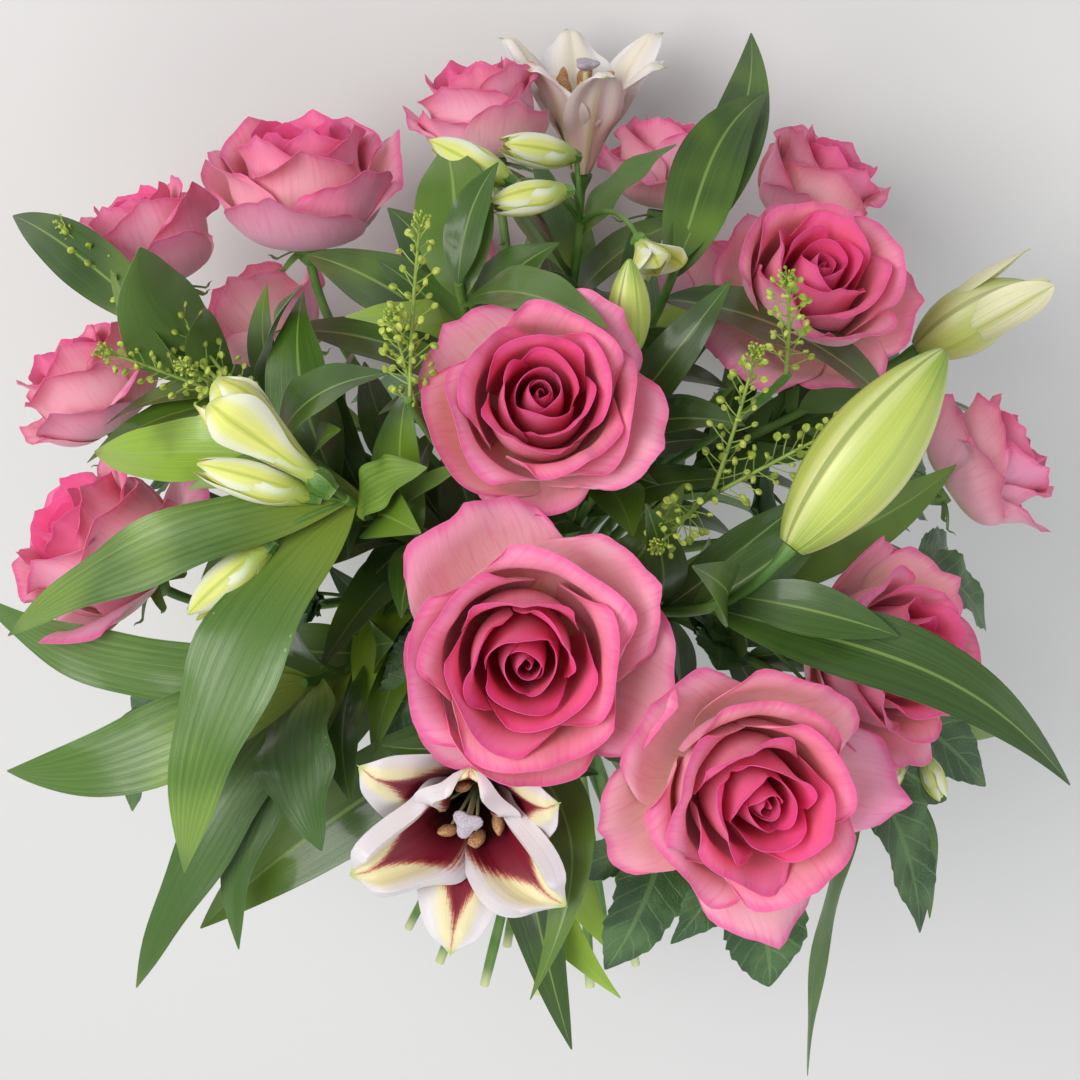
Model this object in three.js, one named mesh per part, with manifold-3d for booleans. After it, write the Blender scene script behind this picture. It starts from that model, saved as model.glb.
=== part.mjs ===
// A mixed hand-tied bouquet of pink roses, lilies, alstroemeria, pennycress and glossy foliage.
// The stems cross in a spiral at one twine binding, and the bunch lies on its back.
// Every place in the bunch is given from the middle of the binding as [tilt, turn, reach]: the angle
// from the bunch's own axis, the angle round it from the front towards the right, and millimetres.
import * as THREE from 'three';
import { mergeVertices } from 'three/addons/utils/BufferGeometryUtils.js';
import Module from 'manifold-3d';

const wasm = await Module();
wasm.setup();

// ---- driving dimensions, millimetres and degrees

const CLEARANCE = 0.35; // between pieces that touch
const FINEST = 0.15; // detail left by the joins that is smaller than this is smoothed away
const CUT_LENGTH = 186; // binding to cut ends, along the axis
const RISE = 15; // the stems run straight to this height above the binding
const SPIRAL_RATE = 0.0264; // sideways run of a stem, per mm of height and mm from the axis
const SPIRAL_TWIST = 50; // a flower stands this far round from its stem's slot in the binding
const RING_RADII = [0, 5.5, 10.7, 16.2]; // slots of the stems in the binding
const RING_COUNTS = [1, 6, 12, 18];
const ROSE_STEM = 2.5; // stem radii
const THIN_STEM = 2.3;
const RECEPTACLE = 6; // radius of the stem's head under a flower
const TIE_RADIUS = 19.4;
const TIE_HEIGHT = 15;
const TIE_SIDES = 12;
const TWINE = 3; // twine diameter
const TWINE_TURNS = 4;
const BLADE = 1.3; // thickness of leaves and petals at mid width
const ROSE_HEIGHT = 52;
const ROSE_MIDDLE = 31; // the middle of a rose stands this far above its receptacle
const LILY_MIDDLE = 42; // and the middle of a lily
// Laid back by these angles the bunch rests on two low roses and one stem, round its weight.
const LIE_ANGLE = -68.57;
const LIE_ROLL = 0.99;

const COLOURS = {
  rosePink: [0xe8749c, 0.6],
  lilyWhite: [0xf3dcd6, 0.5],
  anther: [0xc98a4b, 0.7],
  lilyBud: [0xc3cf6a, 0.45],
  stemGreen: [0x5d8a3a, 0.55],
  leafGreen: [0x3f7a2c, 0.4],
  glossGreen: [0x2f6a2b, 0.25],
  podGreen: [0xa3b545, 0.6],
  twine: [0xb99a6b, 0.9],
};

// ---- the flowers: where each one's middle stands, which way it faces, its size and its turn

const ROSES = [
  { middle: [36, -131, 247], face: [17, -170], size: 1.08, spin: 10 },
  { middle: [51, -117, 268], face: [31, -135], size: 0.88, spin: 50 },
  { middle: [60, -101, 248], face: [37, -122], size: 0.88, spin: 95 },
  { middle: [62, -75, 228], face: [45, -93], size: 1.04, spin: 140 },
  { middle: [32, -168, 254], face: [27, -153], size: 0.85, spin: 200 },
  { middle: [35, 153, 236], face: [30, 162], size: 0.8, spin: 20 },
  { middle: [43, 130, 254], face: [35, 112], size: 0.85, spin: 75 },
  { middle: [31, 97, 230], face: [27, 33], size: 1.0, spin: 120 },
  { middle: [22, 0, 226], face: [39, 5], size: 1.02, spin: 165 },
  { middle: [48, -2, 214], face: [58, 2], size: 1.16, spin: 15 },
  { middle: [65, 24, 226], face: [60, 14], size: 1.1, spin: 60 },
  { middle: [61, 51, 214], face: [55, 46], size: 0.98, spin: 110 },
  { middle: [60, 88, 234], face: [57, 105], size: 0.84, spin: 155 },
  { middle: [62, 150, 203], face: [66, 150], size: 0.85, spin: 30 },
  { middle: [62, -131, 213], face: [64, -134], size: 0.85, spin: 70 },
  { middle: [60, -164, 195], face: [68, -168], size: 0.85, spin: 130 },
];

// Saw-edged leaflets on the rose stems: which rose, where on the stem, and where the tip hangs.
const ROSE_LEAVES = [
  { rose: 2, at: 0.8, tip: [72, -110, 205], width: 34 },
  { rose: 3, at: 0.8, tip: [90, -58, 215], width: 36 },
  { rose: 5, at: 0.75, tip: [58, 172, 178], width: 30 },
  { rose: 9, at: 0.85, tip: [62, 14, 198], width: 30 },
  { rose: 10, at: 0.82, tip: [96, 27, 216], width: 42 },
  { rose: 10, at: 0.78, tip: [92, 8, 196], width: 36 },
  { rose: 11, at: 0.8, tip: [92, 43, 238], width: 36 },
  { rose: 11, at: 0.72, tip: [88, 62, 226], width: 34 },
  { rose: 12, at: 0.8, tip: [84, 84, 214], width: 34 },
  { rose: 12, at: 0.7, tip: [70, 112, 216], width: 36 },
  { rose: 13, at: 0.75, tip: [86, 128, 190], width: 34 },
  { rose: 14, at: 0.75, tip: [86, -108, 204], width: 34 },
  { rose: 15, at: 0.75, tip: [84, -150, 176], width: 32 },
];

const LILIES = [
  { name: 'front', middle: [68, -9, 198], face: [66, -6], reach: 62, flare: 46, spin: 12,
    leaves: [
      { at: 0.72, tip: [84, -2, 218], width: 24, arch: 0.1 },
      { at: 0.62, tip: [101, 3, 212], width: 26, arch: 0.16 },
      { at: 0.55, tip: [94, 10, 186], width: 34, arch: 0.14 },
    ] },
  { name: 'back', middle: [36, 172, 262], face: [12, 172], reach: 66, flare: 44, spin: 40,
    leaves: [
      { at: 0.75, tip: [33, -170, 214], width: 22, arch: 0.1 },
      { at: 0.62, tip: [58, 176, 186], width: 26, arch: 0.14 },
    ] },
];

const LILY_BUDS = [
  { name: 'large', base: [43, 38, 230], tip: [37, 62, 289], width: 37, open: 0,
    leaves: [
      { at: 0.82, tip: [72, 50, 286], width: 30, arch: 0.12 },
      { at: 0.7, tip: [41, 55, 206], width: 20, arch: 0.12 },
      { at: 0.62, tip: [54, 80, 226], width: 30, arch: 0.12 },
    ] },
  { name: 'opening', base: [52, 104, 226], tip: [53, 103, 292], width: 30, open: 1,
    leaves: [
      { at: 0.72, tip: [66, 118, 224], width: 24, arch: 0.12 },
      { at: 0.6, tip: [50, 140, 205], width: 24, arch: 0.12 },
    ] },
  { name: 'small', base: [16, 38, 206], tip: [12, 43, 248], width: 17, open: 0,
    leaves: [
      { at: 0.85, tip: [20, 75, 236], width: 20, arch: 0.1 },
      { at: 0.7, tip: [30, 30, 190], width: 20, arch: 0.1 },
    ] },
];

const ALSTROEMERIAS = [
  { name: 'left', head: [36, -42, 199],
    buds: [
      { base: [36, -44, 212], tip: [36, -61, 250], width: 15, open: 1 },
      { base: [38, -46, 208], tip: [42, -57, 240], width: 12, open: 0 },
      { base: [47, -45, 210], tip: [57, -46, 213], width: 12, open: 0 },
    ],
    leaves: [
      { at: 0.99, tip: [67, -64, 266], width: 30, arch: 0.16 },
      { at: 0.97, tip: [79, -38, 238], width: 40, arch: 0.2 },
      { at: 0.96, tip: [30, -24, 216], width: 25, arch: 0.12 },
      { at: 0.9, tip: [27, -15, 208], width: 9, arch: 0.08 },
      { at: 0.9, tip: [46, -62, 226], width: 22, arch: 0.14 },
    ] },
  { name: 'lower', head: [62, -42, 168],
    buds: [],
    leaves: [
      { at: 0.98, tip: [81, -61, 264], width: 34, arch: 0.18 },
      { at: 0.97, tip: [71, -75, 268], width: 28, arch: 0.12 },
      { at: 0.95, tip: [78, -28, 196], width: 42, arch: 0.2 },
      { at: 0.9, tip: [100, -45, 254], width: 28, arch: 0.12 },
      { at: 0.86, tip: [94, -36, 220], width: 32, arch: 0.14 },
    ] },
  { name: 'top', head: [13, 158, 216],
    buds: [
      { base: [6, -150, 243], tip: [15, -136, 254], width: 13, open: 0 },
      { base: [14, 166, 240], tip: [10, -158, 250], width: 13, open: 0 },
      { base: [5, 150, 240], tip: [4, -100, 240], width: 11, open: 0 },
      { base: [10, 84, 234], tip: [13, 71, 228], width: 13, open: 1 },
    ],
    leaves: [
      { at: 0.96, tip: [22, 140, 248], width: 18, arch: 0.1 },
      { at: 0.9, tip: [21, -178, 232], width: 18, arch: 0.1 },
    ] },
  { name: 'right', head: [72, 52, 190],
    buds: [
      { base: [76, 49, 208], tip: [74, 40, 212], width: 12, open: 0 },
      { base: [80, 56, 204], tip: [86, 56, 214], width: 10, open: 0 },
    ],
    leaves: [
      { at: 0.95, tip: [100, 27, 252], width: 17, arch: 0.12 },
      { at: 0.92, tip: [96, 48, 232], width: 22, arch: 0.12 },
      { at: 0.86, tip: [88, 70, 222], width: 24, arch: 0.12 },
    ] },
];

// Pennycress: each arm leaves its stem at a share of its length and ends at its tip.
const PENNYCRESSES = [
  { name: 'centre', head: [25, -32, 229],
    arms: [{ at: 1, tip: [12, -60, 260] }, { at: 0.95, tip: [20, -42, 249] }] },
  { name: 'right', head: [34, 40, 196],
    arms: [
      { at: 1, tip: [26, 52, 244] },
      { at: 0.97, tip: [37, 58, 240] },
      { at: 0.95, tip: [38, 20, 214] },
    ] },
  { name: 'high', head: [30, 66, 222],
    arms: [{ at: 1, tip: [24, 62, 266] }] },
  { name: 'left', head: [40, -84, 214],
    arms: [{ at: 1, tip: [48, -105, 296] }, { at: 0.95, tip: [41, -97, 258] }] },
];

const FOLIAGE = [
  { name: 'upper_left', head: [42, -92, 240],
    leaves: [
      { at: 0.88, tip: [35, -85, 284], width: 44, arch: 0.14 },
      { at: 0.86, tip: [41, -92, 276], width: 32, arch: 0.12 },
      { at: 1, tip: [54, -109, 316], width: 26, arch: 0.1 },
      { at: 0.78, tip: [26, -90, 228], width: 30, arch: 0.14 },
      { at: 0.8, tip: [58, -84, 236], width: 30, arch: 0.12 },
      { at: 0.7, tip: [62, -112, 216], width: 30, arch: 0.12 },
    ] },
  { name: 'left', head: [37, -62, 204],
    leaves: [
      { at: 1, tip: [23, -42, 226], width: 28, arch: 0.16 },
      { at: 0.95, tip: [55, -82, 238], width: 30, arch: 0.16 },
      { at: 0.85, tip: [28, -97, 218], width: 38, arch: 0.14 },
      { at: 0.8, tip: [60, -60, 196], width: 32, arch: 0.14 },
    ] },
  { name: 'top', head: [10, -60, 222],
    leaves: [
      { at: 0.97, tip: [14, -139, 252], width: 34, arch: 0.16 },
      { at: 1, tip: [5, -130, 256], width: 18, arch: 0.12 },
      { at: 0.96, tip: [18, 20, 246], width: 30, arch: 0.14 },
      { at: 0.9, tip: [3, 40, 232], width: 28, arch: 0.14 },
      { at: 0.86, tip: [22, -66, 230], width: 30, arch: 0.14 },
    ] },
  { name: 'upper_right', head: [15, 92, 222],
    leaves: [
      { at: 1, tip: [33, 144, 300], width: 27, arch: 0.06 },
      { at: 0.97, tip: [28, 131, 280], width: 30, arch: 0.06 },
      { at: 0.93, tip: [46, 80, 220], width: 40, arch: 0.12 },
      { at: 0.85, tip: [54, 122, 206], width: 30, arch: 0.12 },
    ] },
  { name: 'right', head: [62, 112, 180],
    leaves: [
      { at: 1, tip: [70, 104, 244], width: 32, arch: 0.14 },
      { at: 0.95, tip: [60, 122, 240], width: 32, arch: 0.12 },
      { at: 0.9, tip: [82, 112, 208], width: 32, arch: 0.14 },
      { at: 0.8, tip: [50, 104, 200], width: 28, arch: 0.14 },
    ] },
  { name: 'back', head: [58, 178, 172],
    leaves: [
      { at: 1, tip: [50, 176, 226], width: 34, arch: 0.1 },
      { at: 0.95, tip: [72, -176, 166], width: 30, arch: 0.1 },
      { at: 0.9, tip: [78, -148, 172], width: 30, arch: 0.12 },
      { at: 0.85, tip: [66, 160, 190], width: 30, arch: 0.1 },
    ] },
];

// ---- places and directions

const rad = THREE.MathUtils.degToRad;

function place([tilt, turn, reach]) {
  const out = Math.sin(rad(tilt));
  return new THREE.Vector3(out * Math.sin(rad(turn)), -out * Math.cos(rad(turn)), Math.cos(rad(tilt)))
    .multiplyScalar(reach);
}

const heading = ([tilt, turn]) => place([tilt, turn, 1]);

const round = (radius, angle, height) => (
  new THREE.Vector3(radius * Math.cos(angle), radius * Math.sin(angle), height));

// A frame whose z axis points along a direction, turned about itself by spin degrees.
function frameAt(origin, direction, spin = 0) {
  const z = direction.clone().normalize();
  const x = new THREE.Vector3(0, 1, 0).cross(z).normalize();
  const y = z.clone().cross(x);
  return new THREE.Matrix4().makeBasis(x, y, z)
    .multiply(new THREE.Matrix4().makeRotationZ(rad(spin)))
    .setPosition(origin);
}

// ---- closed solids from bent standard geometries

function solidOf(geometry) {
  const bare = new THREE.BufferGeometry();
  bare.setAttribute('position', geometry.getAttribute('position'));
  bare.setIndex(geometry.getIndex());
  const merged = mergeVertices(bare, 1e-4);
  const corners = merged.getIndex().array;
  const kept = [];
  for (let i = 0; i < corners.length; i += 3) {
    const [a, b, c] = corners.subarray(i, i + 3);
    if (a !== b && b !== c && c !== a) kept.push(a, b, c);
  }
  return new wasm.Manifold(new wasm.Mesh({
    numProp: 3,
    vertProperties: new Float32Array(merged.getAttribute('position').array),
    triVerts: new Uint32Array(kept),
  }));
}

function bend(geometry, shape) {
  const positions = geometry.getAttribute('position');
  for (let i = 0; i < positions.count; i += 1) {
    const bent = shape(new THREE.Vector3().fromBufferAttribute(positions, i), i);
    positions.setXYZ(i, bent.x, bent.y, bent.z);
  }
  return geometry;
}

const EDGE = 0.999; // a grid point past this share of the way to the border lies on it
const STEP = 0.02; // the stretch over which a surface's slope is measured

// A thin blade over surface(u, v), with u from base to tip and v from edge to edge, thickest inside
// and coming to an edge all round. Grown, it stands off by that much on every side.
function blade(surface, across, along, grow) {
  const sheet = new THREE.PlaneGeometry(2, 1, across, along);
  const count = sheet.getAttribute('position').count;
  const faces = [1, -1].map((side) => bend(sheet.clone(), ({ x: v, y }) => {
    const u = 0.5 - y;
    const inner = THREE.MathUtils.clamp(u, STEP, 1 - STEP);
    const up = surface(inner + STEP, v, grow).sub(surface(inner - STEP, v, grow));
    const over = surface(inner, v + STEP, grow).sub(surface(inner, v - STEP, grow));
    const normal = up.clone().cross(over).normalize();
    const end = Math.abs(2 * u - 1) > EDGE ? Math.sign(2 * u - 1) : 0;
    const half = (end !== 0 || Math.abs(v) > EDGE ? 0 : BLADE / 2) + grow;
    return surface(u, v, grow).addScaledVector(normal, side * half)
      .addScaledVector(up.normalize(), end * grow);
  }));
  const top = Array.from(sheet.getIndex().array);
  const under = top.map((_, i) => top[i + 2 - 2 * (i % 3)] + count);
  const columns = across + 1;
  const border = [];
  for (let i = 0; i < across; i += 1) border.push(i);
  for (let i = 0; i < along; i += 1) border.push(i * columns + across);
  for (let i = across; i > 0; i -= 1) border.push(along * columns + i);
  for (let i = along; i > 0; i -= 1) border.push(i * columns);
  const walls = border.flatMap((a, i) => {
    const b = border[(i + 1) % border.length];
    return [a, b, b + count, a, b + count, a + count];
  });
  const both = new THREE.BufferGeometry();
  const points = faces.flatMap((face) => Array.from(face.getAttribute('position').array));
  both.setAttribute('position', new THREE.Float32BufferAttribute(points, 3));
  both.setIndex([...top, ...under, ...walls]);
  return solidOf(both);
}

// A tube through rings at the given shares of a curve, one radius each.
function tube(curve, shares, radii, sides, grow = 0) {
  const last = shares.length - 1;
  const rings = [];
  shares.forEach((share, i) => {
    const tangent = curve.getTangent(share);
    const before = rings[i - 1];
    const across = before
      ? before.across.clone().applyQuaternion(
        new THREE.Quaternion().setFromUnitVectors(before.tangent, tangent))
      : new THREE.Vector3(1, 0, 0).cross(tangent).normalize();
    rings.push({ centre: curve.getPoint(share), tangent, across });
  });
  const geometry = new THREE.CylinderGeometry(1, 1, 1, sides, last);
  return solidOf(bend(geometry, ({ x, y, z }) => {
    const i = Math.round((y + 0.5) * last);
    const { centre, tangent, across } = rings[i];
    const past = i === 0 ? -grow : i === last ? grow : 0;
    return centre.clone()
      .addScaledVector(across, x * (radii[i] + grow))
      .addScaledVector(across.clone().cross(tangent), z * (radii[i] + grow))
      .addScaledVector(tangent, past);
  }));
}

// A closed bud between two points: radius(t, angle) from base to tip, with its rings spaced by rise(t).
function bud(base, tip, around, along, radius, grow = 0, rise = (t) => t) {
  const matrix = frameAt(base, tip.clone().sub(base));
  const length = base.distanceTo(tip);
  const geometry = new THREE.SphereGeometry(1, around, along);
  return solidOf(bend(geometry, ({ x, y, z }) => {
    const angle = Math.atan2(-z, x);
    const t = 0.5 + Math.asin(THREE.MathUtils.clamp(y, -1, 1)) / Math.PI;
    const pole = Math.abs(2 * t - 1) > EDGE;
    const r = pole ? 0 : radius(t, angle) + grow;
    const height = rise(t) * (length + 2 * grow) - grow;
    return round(r, angle, height).applyMatrix4(matrix);
  }));
}

// ---- petals and leaves

const PETAL_FULL = 0.6; // a petal reaches its full width at this share of its length
const SKEW_FULL = 0.33;

// A petal in polar form round a flower's axis: its profile is a cubic curve of radius and height. One
// edge stands out and the other in by the skew, so that each petal laps over the next.
function petalMaker(matrix, { turn, halfWidth, profile, skew, across, along, corner = 0.18 }) {
  const points = profile.map(([radius, height]) => new THREE.Vector2(radius, height));
  const curve = new THREE.CubicBezierCurve(...points);
  const surface = (u, v, grow) => {
    const at = curve.getPoint(THREE.MathUtils.clamp(u * (1 - corner * v * v), 0, 1));
    const spread = Math.sin((THREE.MathUtils.clamp(u / PETAL_FULL, 0, 1) * Math.PI) / 2);
    const radius = at.x + skew * v * Math.min(1, u / SKEW_FULL);
    const angle = rad(turn) + v * (rad(halfWidth) * spread + grow / radius);
    return round(radius, angle, at.y).applyMatrix4(matrix);
  };
  return (grow) => blade(surface, across, along, grow);
}

const LEAF_WIDEST = 0.42; // share of the length
const LEAF_FULLNESS = 0.85;

// A leaf from its base to its tip, arched outwards from the bunch, folded a little along its rib. Its
// half width follows a sine, moved towards the base, with saw teeth as a share of that width.
function leafMaker(base, tip, { width, arch, saw = 0, fold = 0.25, along = 5 }) {
  const run = tip.clone().sub(base);
  const length = run.length();
  const out = base.clone().lerp(tip, 0.5).normalize();
  const side = run.clone().cross(out).normalize();
  const up = side.clone().cross(run).normalize();
  const bulge = Math.log(0.5) / Math.log(LEAF_WIDEST);
  const surface = (u, v, grow) => {
    const inside = THREE.MathUtils.clamp(u, 0, 1);
    const teeth = 1 + saw * Math.cos(inside * along * Math.PI);
    const half = (width / 2) * Math.sin(Math.PI * inside ** bulge) ** LEAF_FULLNESS * teeth;
    return base.clone().addScaledVector(run, u)
      .addScaledVector(up, arch * length * 4 * inside * (1 - inside) + fold * half * Math.abs(v))
      .addScaledVector(side, -v * (half + grow));
  };
  return (grow) => blade(surface, 2, along, grow);
}

// ---- stems

const QUARTER_TURN = rad(90);
const STRAIGHT = 0.2; // share of a stem's curve that is its straight part
const PULL = 0.36; // length of the curve's end tangents, as a share of its span

class StemCurve extends THREE.Curve {
  constructor(slot, end, facing) {
    super();
    const lean = new THREE.Vector3(-slot.y, slot.x, 0).multiplyScalar(SPIRAL_RATE);
    const direction = lean.clone().setZ(1).normalize();
    this.foot = slot.clone().addScaledVector(lean, -CUT_LENGTH).setZ(-CUT_LENGTH);
    this.start = slot.clone().addScaledVector(lean, RISE).setZ(RISE);
    const pull = PULL * this.start.distanceTo(end);
    this.bezier = new THREE.CubicBezierCurve3(
      this.start,
      this.start.clone().addScaledVector(direction, pull),
      end.clone().addScaledVector(facing, -pull),
      end,
    );
  }

  getPoint(share) {
    if (share < STRAIGHT) return this.foot.clone().lerp(this.start, share / STRAIGHT);
    return this.bezier.getPoint((share - STRAIGHT) / (1 - STRAIGHT));
  }
}

const STEM_RINGS = [0, STRAIGHT, 0.37, 0.55, 0.76, 1];
const NECK = 0.955; // where a stem that bears a flower begins to widen

// Stems that stand steeper take the inner rings, and in a ring they keep their order round the axis.
function giveSlots(stems) {
  const steep = [...stems].sort((a, b) => a.head[0] - b.head[0]);
  RING_COUNTS.forEach((count, ring) => {
    const members = steep.splice(0, count).sort((a, b) => a.head[1] - b.head[1]);
    const spare = count - members.length;
    const turns = members.map((_, i) => (i + (i >= members.length / 2 ? spare / 2 : 0)) * 360 / count);
    const miss = members.map((stem, i) => stem.head[1] - SPIRAL_TWIST - turns[i]);
    const shift = miss.reduce((sum, value) => sum + value, 0) / members.length;
    members.forEach((stem, i) => {
      stem.slot = place([90, turns[i] + shift, RING_RADII[ring]]);
    });
  });
}

const STEM_SIDES = 5;
const TAPER = 0.2; // a stem loses this share of its radius from the binding to its head

function stemPiece(stem, radius, headRadii = []) {
  const shares = [...STEM_RINGS];
  const radii = shares.map((share) => radius * (1 - TAPER * Math.max(0, share - STRAIGHT)));
  if (headRadii.length) {
    shares.splice(-1, 1, NECK, 1);
    radii.splice(-1, 1, ...headRadii);
  }
  return { rank: 0, make: (grow) => tube(stem.curve, shares, radii, STEM_SIDES, grow) };
}

// Side stalks: a thin tube between two points, bowed towards the axis.
function stalk(from, to, radius, grow, bow = 0.12) {
  const middle = from.clone().lerp(to, 0.5);
  middle.addScaledVector(middle.clone().normalize(), bow * from.distanceTo(to));
  const curve = new THREE.QuadraticBezierCurve3(from, middle, to);
  return tube(curve, [0, 0.55, 1], [radius, radius, radius], 3, grow);
}

const leavesOf = (stem, leaves, look = {}) => leaves.map((leaf) => ({
  rank: 2,
  make: leafMaker(stem.curve.getPoint(leaf.at), place(leaf.tip), { ...leaf, ...look }),
}));

// ---- roses

// One ring of upright petals, closed over the heart, and one ring of broad petals that open out.
const ROSE_RINGS = [
  { count: 4, halfWidth: 53, skew: 1.7, first: 40, across: 3, along: 2,
    profile: [[5, 4], [28, 8], [25, 40], [18, ROSE_HEIGHT]] },
  { count: 5, halfWidth: 44, skew: 1.9, first: 15, across: 2, along: 3,
    profile: [[6, 3], [39, 2], [30, 46], [46, 41]] },
];
// The solid base that all petals grow from, and above it the heart, closed in a spiral: radius, height share.
const HEART_RINGS = [[0, 0], [RECEPTACLE, 0.001], [12.5, 0.12], [10, 0.26], [14, 0.72], [8, 0.94], [0, 1]];
const SWIRL = 0.16; // height of the heart's spiral ridges, as a share of its radius
const SWIRL_TWIST = 9;
const SEPALS = 5;
const SEPAL_TIP = [23, 11]; // distance from the stem, and drop below the bloom
const SEPAL_GAP = [7, 4];
const SEPAL_DEPTH = 7;

function roseBloom({ size, spin }, base, facing) {
  const matrix = frameAt(base.clone().addScaledVector(facing, CLEARANCE), facing, spin)
    .scale(new THREE.Vector3(size, size, size));
  const pieces = ROSE_RINGS.flatMap((ring) => Array.from({ length: ring.count }, (_, i) => ({
    rank: 1,
    make: petalMaker(matrix, { ...ring, turn: ring.first + (i * 360) / ring.count }),
  })));
  const foot = new THREE.Vector3().applyMatrix4(matrix);
  const top = new THREE.Vector3(0, 0, ROSE_HEIGHT - 2).applyMatrix4(matrix);
  const at = (t) => HEART_RINGS[Math.round(t * (HEART_RINGS.length - 1))];
  const ridge = (t, angle) => (t > 0.4 ? SWIRL * Math.cos(2 * angle - SWIRL_TWIST * t) : 0);
  const heart = (t, angle) => size * at(t)[0] * (1 + ridge(t, angle));
  const rise = (t) => at(t)[1];
  pieces.push({ rank: 1, make: (grow) => bud(foot, top, 7, HEART_RINGS.length - 1, heart, grow, rise) });
  return pieces;
}

// The calyx: five long pointed sepals turned back below the bloom, with the gaps drawn in between.
function calyx(base, facing, spin) {
  const matrix = frameAt(base, facing, spin);
  const make = (grow) => {
    const star = new THREE.SphereGeometry(1, 2 * SEPALS, 2);
    return solidOf(bend(star, ({ x, y, z }) => {
      const angle = Math.atan2(-z, x);
      if (Math.abs(y) > 0.9) return round(0, 0, y > 0 ? grow - 1 : -SEPAL_DEPTH - grow).applyMatrix4(matrix);
      const [reach, drop] = Math.cos(SEPALS * angle) > 0 ? SEPAL_TIP : SEPAL_GAP;
      return round(reach + grow, angle, -drop).applyMatrix4(matrix);
    }));
  };
  return { rank: 0, make };
}

// ---- lilies

const TEPALS = 6;

function lilyPetals({ reach, flare, spin }, base, facing) {
  const matrix = frameAt(base.clone().addScaledVector(facing, CLEARANCE), facing, spin);
  const pieces = Array.from({ length: TEPALS }, (_, i) => {
    const inner = i % 2;
    const profile = [[5, 1.4], [13, 0.3 * reach], [24 - 3 * inner, 0.8 * reach], [flare, reach]];
    const halfWidth = inner ? 36 : 30;
    const shape = { turn: i * 60, halfWidth, skew: 0, across: 2, along: 4, corner: 0.55, profile };
    return { rank: 1, make: petalMaker(matrix, shape) };
  });
  pieces.push({ rank: 1, make: (grow) => {
    const [inner, low, high] = [4 - grow, -grow, 3 + grow];
    const ring = [[inner, low], [6.4 + grow, low], [7 + grow, high], [inner, high], [inner, low]];
    const lathe = new THREE.LatheGeometry(ring.map(([r, h]) => new THREE.Vector2(r, h)), 8);
    lathe.rotateX(QUARTER_TURN);
    return solidOf(lathe.applyMatrix4(matrix));
  } });
  return pieces;
}

function lilyHeart({ reach }, base, facing) {
  const matrix = frameAt(base.clone().addScaledVector(facing, CLEARANCE), facing);
  const at = (radius, turn, height) => round(radius, rad(turn), height).applyMatrix4(matrix);
  const tall = 0.74 * reach;
  // Each stamen is one shape: a thin filament that ends in a fat anther.
  const stamen = (t) => (t < 0.7 ? 0.9 : 2.6);
  const pieces = [];
  for (let i = 0; i < TEPALS; i += 1) {
    const turn = i * 60 + 30;
    pieces.push((grow) => bud(at(1, turn, 1), at(13, turn, tall), 3, 4, stamen, grow));
  }
  const stigma = (t, angle) => (0.6 + 2.6 * t) * (1 + 0.25 * Math.cos(3 * angle));
  const column = new THREE.LineCurve3(at(0, 0, 0), at(0, 0, tall + 3));
  pieces.push((grow) => tube(column, [0, 0.12, 1], [3, 1.4, 1.2], 5, grow));
  pieces.push((grow) => bud(at(0, 0, tall), at(0, 0, tall + 8), 6, 3, stigma, grow));
  return pieces.map((make) => ({ rank: 1, make }));
}

// A lily bud, fullest below its middle, with a groove between its three outer petals.
function lilyBud({ width, open }, base, tip) {
  const along = tip.clone().sub(base).normalize();
  const radius = (t, angle) => (width / 2) * Math.sin(Math.PI * Math.min(0.97, 0.08 + 0.9 * t ** 0.9)) ** 0.75
    * (1 + 0.07 * Math.cos(3 * angle) + 0.05 * Math.cos(6 * angle));
  const foot = base.clone().addScaledVector(along, CLEARANCE);
  const end = open ? foot.clone().lerp(tip, 0.86) : tip;
  const pieces = [{ rank: 1, make: (grow) => bud(foot, end, 12, 6, radius, grow) }];
  if (open) {
    const matrix = frameAt(foot, along, 20);
    const reach = foot.distanceTo(tip);
    for (let i = 0; i < 3; i += 1) {
      const profile = [[4, 3], [width * 0.62, 0.3 * reach], [width * 0.5, 0.8 * reach], [9 + 6 * i, reach]];
      const shape = { turn: i * 120, halfWidth: 44, skew: 0, across: 2, along: 3, corner: 0.5, profile };
      pieces.push({ rank: 1, make: petalMaker(matrix, shape) });
    }
  }
  return pieces;
}

// ---- alstroemeria and pennycress

function alstroemeriaHead({ buds }, top) {
  return buds.flatMap(({ base, tip, width, open }) => {
    const [from, to] = [place(base), place(tip)];
    const radius = (t, angle) => (width / 2) * Math.sin(Math.PI * Math.min(0.96, 0.1 + 0.88 * t)) ** 0.8
      * (1 + 0.1 * Math.cos(6 * angle));
    const pieces = [
      { rank: 2, make: (grow) => stalk(top, from.clone().lerp(to, 0.08), 1.1, grow) },
      { rank: 2, make: (grow) => bud(from, to, 6, 4, radius, grow) },
    ];
    if (open) {
      const lifted = to.clone().addScaledVector(to.clone().normalize(), 14);
      const shape = { width: 9, arch: 0.1, along: 3 };
      pieces.push({ rank: 2, make: leafMaker(from.clone().lerp(to, 0.45), lifted, shape) });
    }
    return pieces;
  });
}

const PODS = 5; // along one arm
const POD_RADIUS = 3;
const POD_STALK = 12;
const GOLDEN_ANGLE = 137.5;

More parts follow.
